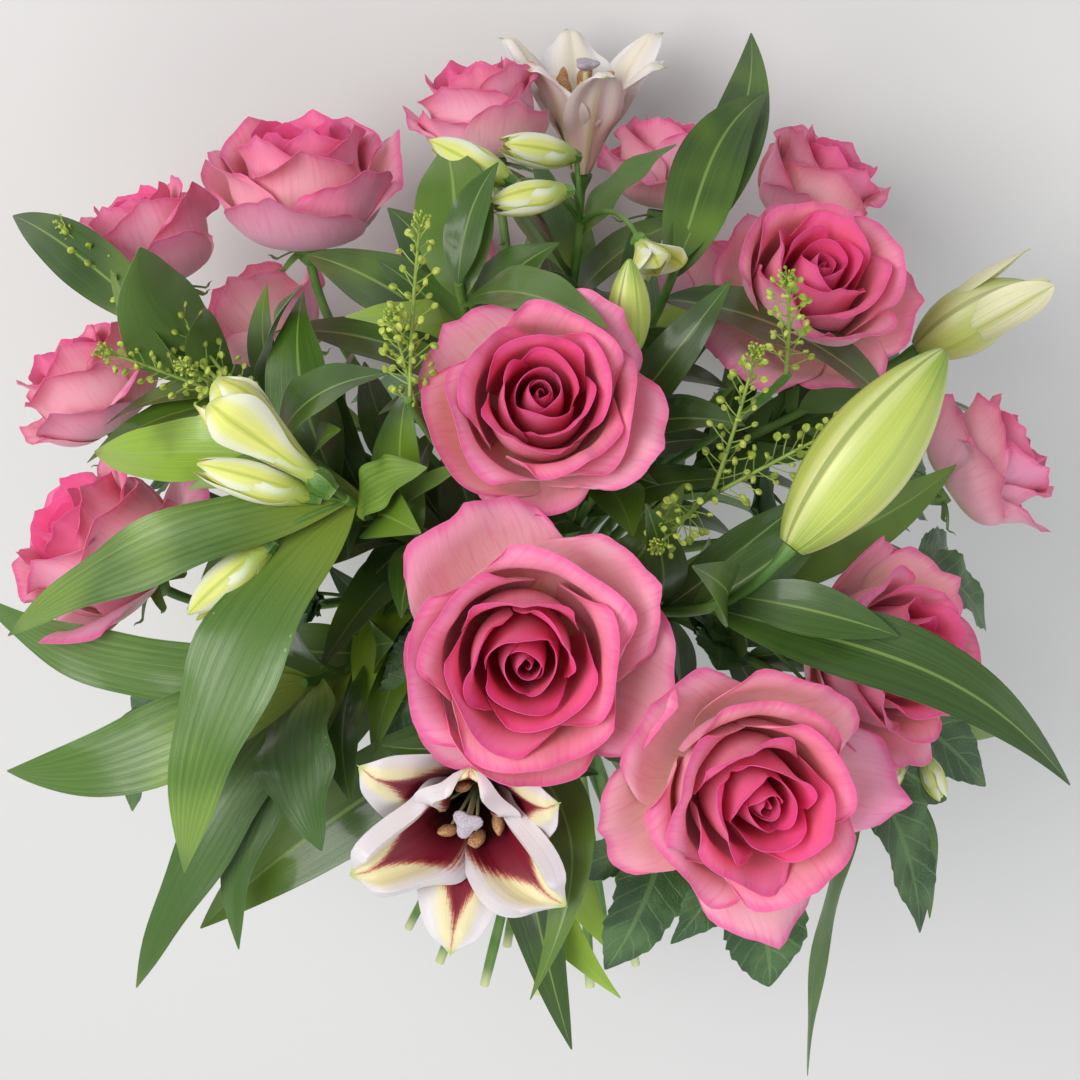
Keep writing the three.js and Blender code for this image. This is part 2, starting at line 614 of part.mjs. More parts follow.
// Round flat pods stand round each arm by the golden angle, closer towards its tip.
function pennycressArm(from, to) {
  const length = from.distanceTo(to);
  const curve = new THREE.QuadraticBezierCurve3(
    from, from.clone().lerp(to, 0.5).addScaledVector(from.clone().normalize(), 0.08 * length), to);
  const pieces = [{ rank: 2, make: (grow) => tube(curve, [0, 0.5, 1], [1.5, 1.3, 1.1], 3, grow) }];
  for (let i = 0; i < PODS; i += 1) {
    const share = 1 - 0.78 * ((i + 0.4) / PODS) ** 1.2;
    const root = curve.getPoint(share);
    const matrix = frameAt(root, curve.getTangent(share), i * GOLDEN_ANGLE);
    const reach = POD_STALK + POD_RADIUS * (0.3 + 0.7 * (1 - share));
    const far = new THREE.Vector3(reach * 0.82, 0, reach * 0.57).applyMatrix4(matrix);
    const pod = (t, angle) => (t < 0.5 ? 0.8 : POD_RADIUS * (0.35 + 0.65 * Math.abs(Math.cos(angle))));
    const behind = root.clone().lerp(far, -0.04);
    pieces.push({ rank: 2, make: (grow) => bud(behind, far, 4, 3, pod, grow) });
  }
  return pieces;
}

// ---- the binding: turns of twine side by side, with a knot and two short ends

function binding() {
  const inner = TIE_RADIUS / Math.cos(Math.PI / TIE_SIDES);
  const pitch = TIE_HEIGHT / TWINE_TURNS;
  const outline = [new THREE.Vector2(inner, -TIE_HEIGHT / 2)];
  for (let i = 0; i < TWINE_TURNS; i += 1) {
    const low = -TIE_HEIGHT / 2 + i * pitch;
    outline.push(new THREE.Vector2(inner + 0.5 * TWINE, low));
    outline.push(new THREE.Vector2(inner + TWINE, low + pitch / 2));
  }
  outline.push(new THREE.Vector2(inner + 0.5 * TWINE, TIE_HEIGHT / 2));
  outline.push(new THREE.Vector2(inner, TIE_HEIGHT / 2));
  outline.push(outline[0].clone());
  const band = new THREE.LatheGeometry(outline, TIE_SIDES).rotateX(QUARTER_TURN);
  const knot = new THREE.SphereGeometry(3.6, 6, 4).translate(0, -inner - TWINE - 1, 0);
  const pieces = [band, knot].map((geometry) => ({ rank: 0, make: () => solidOf(geometry) }));
  const tie = new THREE.Vector3(0, -inner - TWINE - 2, 0);
  [-1, 1].forEach((side) => {
    const end = tie.clone().add(new THREE.Vector3(side * 9, -7, -22));
    pieces.push({ rank: 0, make: () => stalk(tie, end, TWINE / 2, 0) });
  });
  return pieces;
}

// ---- the nodes

const nodes = [];

function addNode(name, colour, pieces) {
  nodes.push({ name, colour, pieces });
}

const stems = [];

function addStem(head, end, facing) {
  const stem = { head, end, facing };
  stems.push(stem);
  return stem;
}

const headStem = (head) => addStem(head, place(head), heading(head));

function bloomStem({ middle, face }, depth) {
  const facing = heading(face);
  return addStem(middle, place(middle).addScaledVector(facing, -depth), facing);
}

const roseStems = ROSES.map((rose) => bloomStem(rose, ROSE_MIDDLE * rose.size));
const lilyStems = LILIES.map((lily) => bloomStem(lily, LILY_MIDDLE));
const budStems = LILY_BUDS.map(({ base, tip }) => (
  addStem(base, place(base), place(tip).sub(place(base)).normalize())));
const alstroStems = ALSTROEMERIAS.map(({ head }) => headStem(head));
const cressStems = PENNYCRESSES.map(({ head }) => headStem(head));
const foliageStems = FOLIAGE.map(({ head }) => headStem(head));

giveSlots(stems);
stems.forEach((stem) => {
  stem.curve = new StemCurve(stem.slot, stem.end, stem.facing);
});

addNode('twine_binding', 'twine', binding());

ROSES.forEach((rose, i) => {
  const stem = roseStems[i];
  const label = String(i + 1).padStart(2, '0');
  const leaves = ROSE_LEAVES.filter((leaf) => leaf.rose === i).map((leaf) => ({ ...leaf, arch: 0.12 }));
  addNode(`rose_${label}_stem`, 'leafGreen', [
    stemPiece(stem, ROSE_STEM, [2.3, RECEPTACLE * rose.size]),
    calyx(stem.end, stem.facing, rose.spin),
    ...leavesOf(stem, leaves, { saw: 0.1, along: 6 }),
  ]);
  addNode(`rose_${label}_bloom`, 'rosePink', roseBloom(rose, stem.end, stem.facing));
});

LILIES.forEach((lily, i) => {
  const stem = lilyStems[i];
  addNode(`lily_${lily.name}_stem`, 'stemGreen', [
    stemPiece(stem, ROSE_STEM, [2.3, RECEPTACLE]), ...leavesOf(stem, lily.leaves)]);
  addNode(`lily_${lily.name}_petals`, 'lilyWhite', lilyPetals(lily, stem.end, stem.facing));
  addNode(`lily_${lily.name}_stamens`, 'anther', lilyHeart(lily, stem.end, stem.facing));
});

LILY_BUDS.forEach((lily, i) => {
  const stem = budStems[i];
  addNode(`lily_bud_${lily.name}_stem`, 'stemGreen', [
    stemPiece(stem, ROSE_STEM, [2.2, 3.4]), ...leavesOf(stem, lily.leaves)]);
  addNode(`lily_bud_${lily.name}`, 'lilyBud', lilyBud(lily, stem.end, place(lily.tip)));
});

ALSTROEMERIAS.forEach((plant, i) => {
  const stem = alstroStems[i];
  addNode(`alstroemeria_${plant.name}`, 'leafGreen', [
    stemPiece(stem, THIN_STEM), ...alstroemeriaHead(plant, stem.curve.getPoint(0.985)),
    ...leavesOf(stem, plant.leaves, { fold: 0.12 })]);
});

PENNYCRESSES.forEach((plant, i) => {
  const stem = cressStems[i];
  addNode(`pennycress_${plant.name}`, 'podGreen', [
    stemPiece(stem, THIN_STEM),
    ...plant.arms.flatMap(({ at, tip }) => pennycressArm(stem.curve.getPoint(at - 0.01), place(tip)))]);
});

FOLIAGE.forEach((branch, i) => {
  const stem = foliageStems[i];
  addNode(`foliage_${branch.name}`, 'glossGreen', [
    stemPiece(stem, THIN_STEM), ...leavesOf(stem, branch.leaves)]);
});

// ---- joining: stems keep their way, then blooms, then leaves, and what comes later is cut clear

const meets = (a, b) => a.min.every((low, k) => low < b.max[k] && b.min[k] < a.max[k]);

const wholes = nodes.flatMap(({ pieces }, owner) => pieces.map(({ rank, make }) => {
  const solid = make(0);
  return { owner, rank, solid, box: solid.boundingBox(), grown: make(CLEARANCE) };
}));

function joined(owner) {
  const trimmed = wholes.filter((piece) => piece.owner === owner).map((piece) => {
    const first = (other) => other.rank < piece.rank || (other.rank === piece.rank && other.owner < owner);
    const cutters = wholes.filter((other) => (
      other.owner !== owner && first(other) && meets(piece.box, other.grown.boundingBox())));
    if (!cutters.length) return piece.solid;
    return piece.solid.subtract(wasm.Manifold.union(cutters.map(({ grown }) => grown)));
  });
  const bodies = wasm.Manifold.union(trimmed).asOriginal().simplify(FINEST).decompose();
  return bodies.reduce((best, body) => (body.volume() > best.volume() ? body : best));
}

function geometryOf(solid) {
  const { vertProperties, triVerts } = solid.getMesh();
  const geometry = new THREE.BufferGeometry();
  geometry.setAttribute('position', new THREE.Float32BufferAttribute(vertProperties, 3));
  geometry.setIndex(Array.from(triVerts));
  geometry.computeVertexNormals();
  return geometry;
}

const laid = new THREE.Group();
laid.rotation.set(rad(LIE_ANGLE), rad(LIE_ROLL), 0, 'YXZ');
nodes.forEach(({ name, colour }, owner) => {
  const [shade, roughness] = COLOURS[colour];
  const mesh = new THREE.Mesh(
    geometryOf(joined(owner)),
    new THREE.MeshStandardMaterial({ color: shade, roughness, metalness: 0, flatShading: true }),
  );
  mesh.name = name;
  laid.add(mesh);
});

// The bunch lies on the surface z = 0, with the middle of its floor plan at the origin.
const group = new THREE.Group();
group.add(laid);
group.updateMatrixWorld(true);
const box = new THREE.Box3().setFromObject(group, true);
const centre = box.getCenter(new THREE.Vector3());
laid.position.set(-centre.x, -centre.y, -box.min.z);

export default group;
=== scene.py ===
import math
from types import SimpleNamespace

import bpy
import numpy as np
from mathutils import Matrix, Vector


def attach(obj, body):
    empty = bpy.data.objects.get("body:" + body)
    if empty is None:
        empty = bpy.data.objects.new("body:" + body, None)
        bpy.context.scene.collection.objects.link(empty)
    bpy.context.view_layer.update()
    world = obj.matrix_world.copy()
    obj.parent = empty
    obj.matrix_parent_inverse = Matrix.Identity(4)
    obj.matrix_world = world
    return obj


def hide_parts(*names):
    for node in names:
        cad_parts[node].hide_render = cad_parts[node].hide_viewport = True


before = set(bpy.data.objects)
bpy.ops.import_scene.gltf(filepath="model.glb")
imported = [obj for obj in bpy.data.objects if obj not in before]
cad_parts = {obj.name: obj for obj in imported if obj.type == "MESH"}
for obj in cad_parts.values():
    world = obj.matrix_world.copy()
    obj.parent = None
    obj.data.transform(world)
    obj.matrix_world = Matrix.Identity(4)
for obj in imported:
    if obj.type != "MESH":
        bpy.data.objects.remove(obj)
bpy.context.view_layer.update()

# ---- The bunch as it lies
# A hand-tied bunch has one tie, and everything in it is placed from the middle of that tie: so far off
# the bunch's axis, so far round from its front towards its right, and so many millimetres out. The
# finished bunch lies on its back, and all meshes are put down there in metres.

LAID_BACK = math.radians(-68.57)
ROLLED = math.radians(0.99)
TIE_MIDDLE = np.array([0.0090326, -0.0407234, 0.1451194])
LYING = np.array(Matrix.Rotation(ROLLED, 3, "Y") @ Matrix.Rotation(LAID_BACK, 3, "X"))


def place(spot):
    """A point in millimetres from its tilt off the axis, its turn round it and its reach."""
    tilt, turn, reach = math.radians(spot[0]), math.radians(spot[1]), spot[2]
    out = math.sin(tilt)
    return reach * np.array([out * math.sin(turn), -out * math.cos(turn), math.cos(tilt)])


def lying(points):
    """Points of the upright bunch in millimetres, tipped back, rolled and moved to where it lies."""
    return points @ LYING.T * 0.001 + TIE_MIDDLE


# ---- Camera, floor and light
# The camera looks down into the front of the head, as the bunch was photographed. The floor is a plain
# pale board, and three large soft lamps stand round it.

LOOK_TILT = math.radians(48)  # between the bunch's axis and the line of sight
LOOK_FROM = (45, 950)  # millimetres up the picture and towards the camera, from the tie
FOCAL_PIXELS = 1935
PICTURE_PIXELS = 1080
SENSOR_WIDTH = 36
LAMPS_AIM = Vector((0, 0.05, 0.15))

sight = np.array([0, -math.sin(LOOK_TILT), math.cos(LOOK_TILT)])
upwards = np.array([0, math.cos(LOOK_TILT), math.sin(LOOK_TILT)])
eye = lying(LOOK_FROM[0] * upwards + LOOK_FROM[1] * sight)
axes = LYING @ np.column_stack([(1, 0, 0), upwards, sight])
lens = bpy.data.cameras.new("camera")
lens.sensor_width = SENSOR_WIDTH
lens.lens = SENSOR_WIDTH * FOCAL_PIXELS / PICTURE_PIXELS
lens.clip_start = 0.01
camera = bpy.data.objects.new("camera", lens)
camera.matrix_world = Matrix.Translation(Vector(eye)) @ Matrix(axes.tolist()).to_4x4()
bpy.context.scene.collection.objects.link(camera)
bpy.context.scene.camera = camera

bpy.ops.mesh.primitive_plane_add(size=12, location=(0, 0, 0))
floor = bpy.context.object
floor.name = "floor"
floor_paint = bpy.data.materials.new("floor_paint")
floor_paint.use_nodes = True
sockets = floor_paint.node_tree.nodes["Principled BSDF"].inputs
sockets["Base Color"].default_value = (0.72, 0.72, 0.71, 1)
sockets["Roughness"].default_value = 0.9
floor.data.materials.append(floor_paint)

LAMPS = [  # name, where it stands, size in metres, watts, colour
    ("key", (-0.75, 0.55, 1.5), 1.0, 21, (1.0, 0.98, 0.95)),
    ("fill", (1.2, -0.3, 1.1), 1.4, 7, (0.95, 0.97, 1.0)),
    ("front", (-0.1, -1.3, 1.2), 1.2, 6, (1.0, 0.99, 0.97)),
]
for name, spot, size, watts, colour in LAMPS:
    lamp = bpy.data.lights.new(name, "AREA")
    lamp.size = size
    lamp.energy = watts
    lamp.color = colour
    stand = bpy.data.objects.new(name, lamp)
    stand.location = spot
    stand.rotation_euler = (LAMPS_AIM - Vector(spot)).to_track_quat("-Z", "Y").to_euler()
    bpy.context.scene.collection.objects.link(stand)
room = bpy.data.worlds.new("room")
room.use_nodes = True
sockets = room.node_tree.nodes["Background"].inputs
sockets["Color"].default_value = (0.93, 0.95, 1.0, 1)
sockets["Strength"].default_value = 0.4
bpy.context.scene.world = room
bpy.context.scene.view_settings.view_transform = "Standard"

# ---- The order of the stems
# The florist turns the bunch in one hand while adding stems, so all stems slant the same way round at
# the tie and open into a wide spiral. Steep stems fill the middle, and the others stand in rings.

ROSES = [  # where the heart stands, which way it faces, size, turn, how far open
    ((36, -131, 247), (17, -170), 1.08, 10, 0.9),
    ((51, -117, 268), (31, -135), 0.88, 50, 0.92),
    ((60, -101, 248), (37, -122), 0.88, 95, 0.88),
    ((62, -75, 228), (45, -93), 1.04, 140, 0.95),
    ((32, -168, 254), (27, -153), 0.85, 200, 0.85),
    ((35, 153, 236), (30, 162), 0.8, 20, 0.85),
    ((43, 130, 254), (35, 112), 0.85, 75, 0.95),
    ((31, 97, 230), (27, 33), 1.0, 120, 0.95),
    ((22, 0, 226), (39, 5), 1.02, 165, 0.92),
    ((48, -2, 214), (58, 2), 1.16, 15, 1.0),
    ((65, 24, 226), (60, 14), 1.1, 60, 1.0),
    ((61, 51, 214), (55, 46), 0.98, 110, 0.95),
    ((60, 88, 234), (57, 105), 0.84, 155, 0.85),
    ((62, 150, 203), (66, 150), 0.85, 30, 0.8),
    ((62, -131, 213), (64, -134), 0.85, 70, 0.85),
    ((60, -164, 195), (68, -168), 0.85, 130, 0.8),
]
ROSE_DEPTH = 31  # from a rose's heart down to its receptacle, at size 1

LILIES = [  # name, heart, facing, reach, flare, turn
    ("front", (68, -9, 198), (66, -6), 62, 51, 12),
    ("back", (36, 172, 262), (12, 172), 66, 50, 40),
]
LILY_DEPTH = 42  # from a lily's heart down to its foot

LILY_BUDS = [  # name, base, tip, width, open
    ("large", (43, 38, 230), (37, 62, 289), 37, False),
    ("opening", (52, 104, 226), (53, 103, 292), 30, True),
    ("small", (16, 38, 206), (12, 43, 248), 17, False),
]

HEADS = {  # where the other stems end
    "alstroemeria_left": (36, -42, 199),
    "alstroemeria_lower": (62, -42, 168),
    "alstroemeria_top": (13, 158, 216),
    "alstroemeria_right": (72, 52, 190),
    "pennycress_centre": (25, -32, 229),
    "pennycress_right": (34, 40, 196),
    "pennycress_high": (30, 66, 222),
    "pennycress_left": (40, -84, 214),
    "foliage_upper_left": (42, -92, 240),
    "foliage_left": (37, -62, 204),
    "foliage_top": (10, -60, 222),
    "foliage_upper_right": (15, 92, 222),
    "foliage_right": (62, 112, 180),
    "foliage_back": (58, 178, 172),
}

CUT_LENGTH = 186  # of the straight shafts below the tie
RISE = 15  # of the same above it
SPIRAL_RATE = 0.0264  # sideways run of a stem for each millimetre up, per millimetre from the axis
SPIRAL_TWIST = 50  # degrees from a stem's place at the tie round to its flower
RING_RADII = (0, 5.5, 10.7, 16.2)
RING_COUNTS = (1, 6, 12, 18)
STRAIGHT = 0.2  # share of a stem that is its shaft
PULL = 0.36  # how long the curve keeps its first and last direction, as a share of its span
NEIGHBOUR_REACH = 104  # between two hearts, beyond which neither flower is in the other's way
NEIGHBOUR_FADE = 32


def heading(face):
    """The direction of a tilt and a turn."""
    return place((*face, 1))


def unit(vector):
    """The vector or vectors made one long."""
    return vector / (np.linalg.norm(vector, axis=-1, keepdims=True) + 1e-12)


def bezier(t, *points):
    """The smooth curve from the first point to the last that the others draw towards themselves:
    neighbours are mixed by t over and over until one point is left."""
    while len(points) > 1:
        points = [(1 - t) * first + t * second for first, second in zip(points, points[1:])]
    return points[0]


stems = {}  # name: its flower's heart, where it ends, its direction there
for i, (heart, face, size, _, _) in enumerate(ROSES):
    end = place(heart) - heading(face) * ROSE_DEPTH * size
    stems[f"rose_{i + 1:02d}"] = (heart, end, heading(face))
for name, heart, face, *_ in LILIES:
    stems[f"lily_{name}"] = (heart, place(heart) - heading(face) * LILY_DEPTH, heading(face))
for name, base, tip, *_ in LILY_BUDS:
    stems[f"lily_bud_{name}"] = (base, place(base), unit(place(tip) - place(base)))
for name, head in HEADS.items():
    stems[name] = (head, place(head), heading(head[:2]))

slots = {}
waiting = sorted(stems, key=lambda name: stems[name][0][0])
for count, radius in zip(RING_COUNTS, RING_RADII):
    members = sorted(waiting[:count], key=lambda name: stems[name][0][1])
    waiting = waiting[count:]
    spare = (count - len(members)) / 2
    turns = [(i + (spare if i >= len(members) / 2 else 0)) * 360 / count for i in range(len(members))]
    behind = [stems[name][0][1] - SPIRAL_TWIST - turn for name, turn in zip(members, turns)]
    shift = sum(behind) / len(members)
    for name, turn in zip(members, turns):
        slots[name] = place((90, turn + shift, radius))


def along(name, share):
    """Points of a stem at shares of its length: a straight slanting shaft up through the tie for the
    first fifth, then a cubic curve that leaves it in line and ends in the flower's own direction."""
    share = np.asarray(share, float)[..., None]
    slot, (_, end, facing) = slots[name], stems[name]
    lean = SPIRAL_RATE * np.array([-slot[1], slot[0], 0.0])
    rise = np.array([0.0, 0.0, 1.0])
    foot = slot - (lean + rise) * CUT_LENGTH
    start = slot + (lean + rise) * RISE
    pull = PULL * np.linalg.norm(end - start)
    t = np.clip((share - STRAIGHT) / (1 - STRAIGHT), 0, 1)
    curved = bezier(t, start, start + unit(lean + rise) * pull, end - facing * pull, end)
    return np.where(share < STRAIGHT, foot + (start - foot) * share / STRAIGHT, curved)


hearts = np.array([place(row[0]) for row in ROSES] + [place(row[1]) for row in LILIES])


def crowding(direction, heart):
    """How far a flower's neighbours stand in the way of a petal that falls in one direction: one where
    a neighbour is near and straight ahead, nought where there is none."""
    gaps = hearts - heart
    far = np.linalg.norm(gaps, axis=1)
    ahead = np.maximum(0, gaps @ direction / np.maximum(far, 1)) ** 2
    near = np.where(far > 1, np.clip((NEIGHBOUR_REACH - far) / NEIGHBOUR_FADE, 0, 1), 0)
    return float((ahead * near).max())


# ---- Rose blooms
# Sixteen garden roses. Their thin satin petals are wound tight and deep pink in the heart and stand
# round it in a cup with rolled rims. Five wide pale guard petals, cream at the foot, fall open below.

CUP_PETALS = 18
GUARD_PETALS = 5
GUARD_RIM = (47, 28)  # how far out and how high the rim of a guard petal stands
GUARD_HALF_WIDTH = 37
GUARD_ROLL = 58
GOLDEN_TURN = math.radians(137.508)
# From the heart (0) to the outside of the cup (1): where the rim stands, how the petal bellies out on
# its way there, its half width, its roll in degrees, and how far its edges stand out and in.
PETAL_AGE = (0, 0.15, 0.3, 0.5, 0.7, 0.85, 1)
RIM_RADIUS = (1.5, 4, 7.5, 13.5, 20.5, 26.5, 31.5)
RIM_HEIGHT = (43, 46, 49, 51, 50.5, 48.5, 45)
BELLY_RADIUS = (5, 9, 14, 21, 28, 32, 34)
NECK_RADIUS = (3.5, 7, 11, 16.5, 23, 28, 31)
HALF_WIDTH = (7, 10.5, 13.5, 19, 26, 31, 35)
RIM_ROLL = (0, 4, 14, 34, 60, 80, 92)
LAP = (0.5, 0.8, 1.2, 1.6, 1.5, 1.3, 1.1)
FINE_ROWS = 96  # steps in which a petal's midline is followed before its rows are picked
FLOOR_BEND = 0.004  # metres off the floor at which petals and leaves begin to bend along it
SHARP_EDGE = math.radians(62)  # bend from which two faces are shaded apart
SEAT_GAP = 0.4  # between a flower and the end of its stem
BLOOM_SEED = 300


def turned(direction, spin=0):
    """Three axes as columns: z along a direction, x level with the bunch, turned by spin degrees."""
    z = unit(direction)
    x = unit(np.cross((0, 1, 0), z))
    y = np.cross(z, x)
    c, s = math.cos(math.radians(spin)), math.sin(math.radians(spin))
    return np.column_stack([x * c + y * s, y * c - x * s, z])


def ease(low, high, value):
    """Nought below low, one above high, and a smooth rise between."""
    t = np.clip((value - low) / (high - low), 0, 1)
    return t * t * (3 - 2 * t)


def spoke(turn):
    """The direction square to the z axis at a turn in radians."""
    return np.array([math.cos(turn), math.sin(turn), 0])


def petal(rim, belly, half_width, roll, lap, corner, ruffle, point, wrap, tilt, rng,
          rows=17, columns=21):
    """One petal round the z axis, as a grid from its foot to its rim and from edge to edge. Its midline
    is a cubic curve out past the belly and up to the rim, bent on by the roll over its last third. Each
    column has its own length, shorter at the corners, and its own roll, most at the shoulders, so that
    the rim comes to a point. Across, the petal follows the circle it stands on, with one edge out and the
    other in by the lap. The whole petal is then tipped out and to one side by the tilt."""
    fine = np.linspace(0, 1, FINE_ROWS)[:, None]
    v = np.linspace(-1, 1, columns)[None, :]
    (r3, h3), (r1, h1), (r2, h2) = rim, belly[0], belly[1]
    r0, h0 = 2.2 + 0.06 * r3, 2.0
    phase = rng.uniform(0, 2 * math.pi, 7)
    length = (1 - corner * np.abs(v) ** 2.4 + point * np.exp(-((v / 0.13) ** 2))
              + 0.018 * np.sin(5 * v + phase[0]) + 0.2 * point * np.abs(np.sin(8 * v + phase[1])))
    u = fine * length
    slope_r = 3 * bezier(u, r1 - r0, r2 - r1, r3 - r2)
    slope_h = 3 * bezier(u, h1 - h0, h2 - h1, h3 - h2)
    bend = np.arctan2(slope_r, slope_h)
    shoulders = 0.66 + 0.34 * ease(0.05, 0.8, np.abs(v + 0.12 * np.sin(phase[6])))
    shoulders = (shoulders + 0.12 * np.sin(3 * v + phase[2])) * (1 - 0.6 * ease(0.72, 1, np.abs(v)))
    bend = bend + math.radians(roll) * shoulders * ease(0.68, 1.04, fine)
    step = np.hypot(slope_r, slope_h) * length / (FINE_ROWS - 1)
    radius = r0 + np.cumsum(np.sin(bend) * step, axis=0)
    height = h0 + np.cumsum(np.cos(bend) * step, axis=0)
    rows_at = np.round((1 - (1 - np.linspace(0, 1, rows)) ** 1.3) * (FINE_ROWS - 1)).astype(int)
    radius, height, u = radius[rows_at], height[rows_at], fine[rows_at] + 0 * v
    body = np.sin(np.clip(u / 0.6, 0, 1) * math.pi / 2) ** 0.8 * (1 - 0.14 * ease(0.78, 1, u))
    spread = np.minimum(half_width * body / np.maximum(radius[:, columns // 2][:, None], 2.0), wrap)
    radius = radius + lap * v * np.minimum(1, u / 0.3)
    curl = 0.8 * np.sin(2.4 * v + phase[3]) + 0.25 * np.sin(6 * v + phase[4])
    radius = radius + ruffle * u ** 5 * curl
    height = height + 0.8 * ruffle * u ** 3 * np.sin(3.1 * v + phase[5])
    angle = v * spread
    x, y, z = radius * np.cos(angle), radius * np.sin(angle), height
    x, z = x + tilt[0] * z * u, z - tilt[0] * x * u
    y, z = y + tilt[1] * z * u, z - tilt[1] * y * u
    return np.stack([x, y, z], -1), u, v + 0 * u


def border(rows, columns):
    """The indices round a grid, in the order its faces turn."""
    return np.concatenate([
        np.arange(rows - 1) * columns,
        (rows - 1) * columns + np.arange(columns - 1),
        (rows - 1 - np.arange(rows - 1)) * columns + columns - 1,
        columns - 1 - np.arange(columns - 1),
    ])


def shell(points, thick, u, v, depth=0.0, tone=0.5, coat=0):
    """A thin closed skin on a grid of points: the grid moved half its thickness to either side along its
    own normals, thinner towards the border, and the two faces sewn together all round."""
    rows, columns = points.shape[:2]
    normal = unit(np.cross(np.gradient(points, axis=0), np.gradient(points, axis=1)))
    thin = 1 - 0.7 * np.maximum(np.abs(2 * u - 1) ** 8, np.abs(v) ** 8)
    half = (0.5 * thick * thin)[..., None]
    count = rows * columns
    grid = np.arange(count).reshape(rows, columns)
    top = np.stack([grid[:-1, :-1], grid[1:, :-1], grid[1:, 1:], grid[:-1, 1:]], -1).reshape(-1, 4)
    rim = border(rows, columns)
    after = np.roll(rim, -1)
    walls = np.stack([after, rim, rim + count, after + count], -1)
    growth = np.stack([v, u, np.full_like(u, depth)], -1).reshape(-1, 3)
    return {
        "points": np.concatenate([points + normal * half, points - normal * half]).reshape(-1, 3),
        "quads": np.concatenate([top, top[:, ::-1] + count, walls]),
        "tris": np.zeros((0, 3), int),
        "growth": np.concatenate([growth, growth]),
        "tone": np.full(2 * count, tone),
        "back": np.repeat([0.0, 1.0], count),
        "coat": coat,
    }


def moved(part, axes, origin, scale=1.0):
    """A part turned into these axes and carried to its origin."""
    return {**part, "points": part["points"] @ axes.T * scale + origin}


def show(name, parts, finishes, slot, *nodes):
    """Sews the parts into one mesh where the bunch lies, with how it grew kept on its points, and puts
    it in the place of its CAD nodes. What would sink into the floor bends along it instead."""
    points = lying(np.concatenate([part["points"] for part in parts]))
    low = np.minimum(points[:, 2] - FLOOR_BEND, 0)
    points[:, 2] = np.where(low < 0, FLOOR_BEND * np.exp(low / FLOOR_BEND), points[:, 2])
    starts = np.cumsum([0] + [len(part["points"]) for part in parts])
    quads = np.concatenate([part["quads"] + start for part, start in zip(parts, starts)])
    tris = np.concatenate([part["tris"] + start for part, start in zip(parts, starts)])
    coats = np.concatenate([np.full(len(part["quads"]), part["coat"]) for part in parts]
                           + [np.full(len(part["tris"]), part["coat"]) for part in parts])
    mesh = bpy.data.meshes.new(name)
    mesh.from_pydata(points.tolist(), [], quads.tolist() + tris.tolist())
    for kind, label, size in (("FLOAT_VECTOR", "growth", 3), ("FLOAT", "tone", 1), ("FLOAT", "back", 1)):
        values = np.concatenate([part[label] for part in parts]).astype(np.float32).ravel()
        layer = mesh.attributes.new(label, kind, "POINT")
        layer.data.foreach_set("vector" if size == 3 else "value", values)
    mesh.polygons.foreach_set("material_index", coats.astype(np.int32))
    mesh.shade_smooth()
    mesh.set_sharp_from_angle(angle=SHARP_EDGE)
    for finish in finishes:
        mesh.materials.append(finish)
    piece = bpy.data.objects.new(name, mesh)
    bpy.context.scene.collection.objects.link(piece)
    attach(piece, "root")
    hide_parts(*nodes)


class Tint:
    """A number or colour on its way through a finish. Sums with it add the nodes that work them out."""

    def __init__(self, tree, socket=None):
        """A finish's node tree, and the output that carries the value."""
        self.tree = tree
        self.socket = socket

    def node(self, kind, settings, sockets, output=0):
        """Any node: its settings first, then the values, colour codes or links of its sockets."""
        made = self.tree.nodes.new(kind)
        for key, value in settings.items():
            setattr(made, key, value)
        for key, value in sockets.items():
            if isinstance(value, Tint):
                self.tree.links.new(value.socket, made.inputs[key])
            else:
                made.inputs[key].default_value = dye(value) if isinstance(value, str) else value
        return Tint(self.tree, made.outputs[output])

    def sum(self, operation, *others):
        """Any operation on this and other numbers."""
        return self.node("ShaderNodeMath", {"operation": operation}, dict(enumerate((self, *others))))

    def __add__(self, other):
        return self.sum("ADD", other)

    __radd__ = __add__

    def __mul__(self, other):
        return self.sum("MULTIPLY", other)

    __rmul__ = __mul__

    def __sub__(self, other):
        return self.sum("SUBTRACT", other)

    def __rsub__(self, other):
        return self.node("ShaderNodeMath", {"operation": "SUBTRACT"}, {0: other, 1: self})

    def __abs__(self):
        return self.sum("ABSOLUTE")

    def within(self, low, high):
        """Nought at low, one at high, with a smooth rise between."""
        return self.node("ShaderNodeMapRange", {"interpolation_type": "SMOOTHSTEP"},
                         {"Value": self, "From Min": low, "From Max": high})

    def towards(self, first, second):
        """The first colour where this is nought and the second where it is one."""
        return self.node("ShaderNodeMix", {"data_type": "RGBA"}, {0: self, 6: first, 7: second}, 2)

    def painted(self, *layers):
        """This colour with others laid over it in turn, each where its own cover is one."""
        for cover, colour in layers:
            self = cover.towards(self, colour)
        return self

    def grain(self, scale, stretch=(1.0, 1.0, 1.0), detail=2.0):
        """Noise on this vector, drawn out by the stretch."""
        drawn = self.node("ShaderNodeVectorMath", {"operation": "MULTIPLY"}, {0: self, 1: stretch})
        sockets = {"Vector": drawn, "Scale": scale, "Detail": detail}
        return self.node("ShaderNodeTexNoise", {}, sockets, "Fac")

    def raised(self, strength, distance):
        """Bumps the surface by this height."""
        sockets = {"Strength": strength, "Distance": distance, "Height": self}
        self.node("ShaderNodeBump", {}, sockets, "Normal").into("Normal")

    def into(self, socket):
        """Joins this to a socket of the surface."""
        self.tree.links.new(self.socket, self.tree.nodes["Principled BSDF"].inputs[socket])


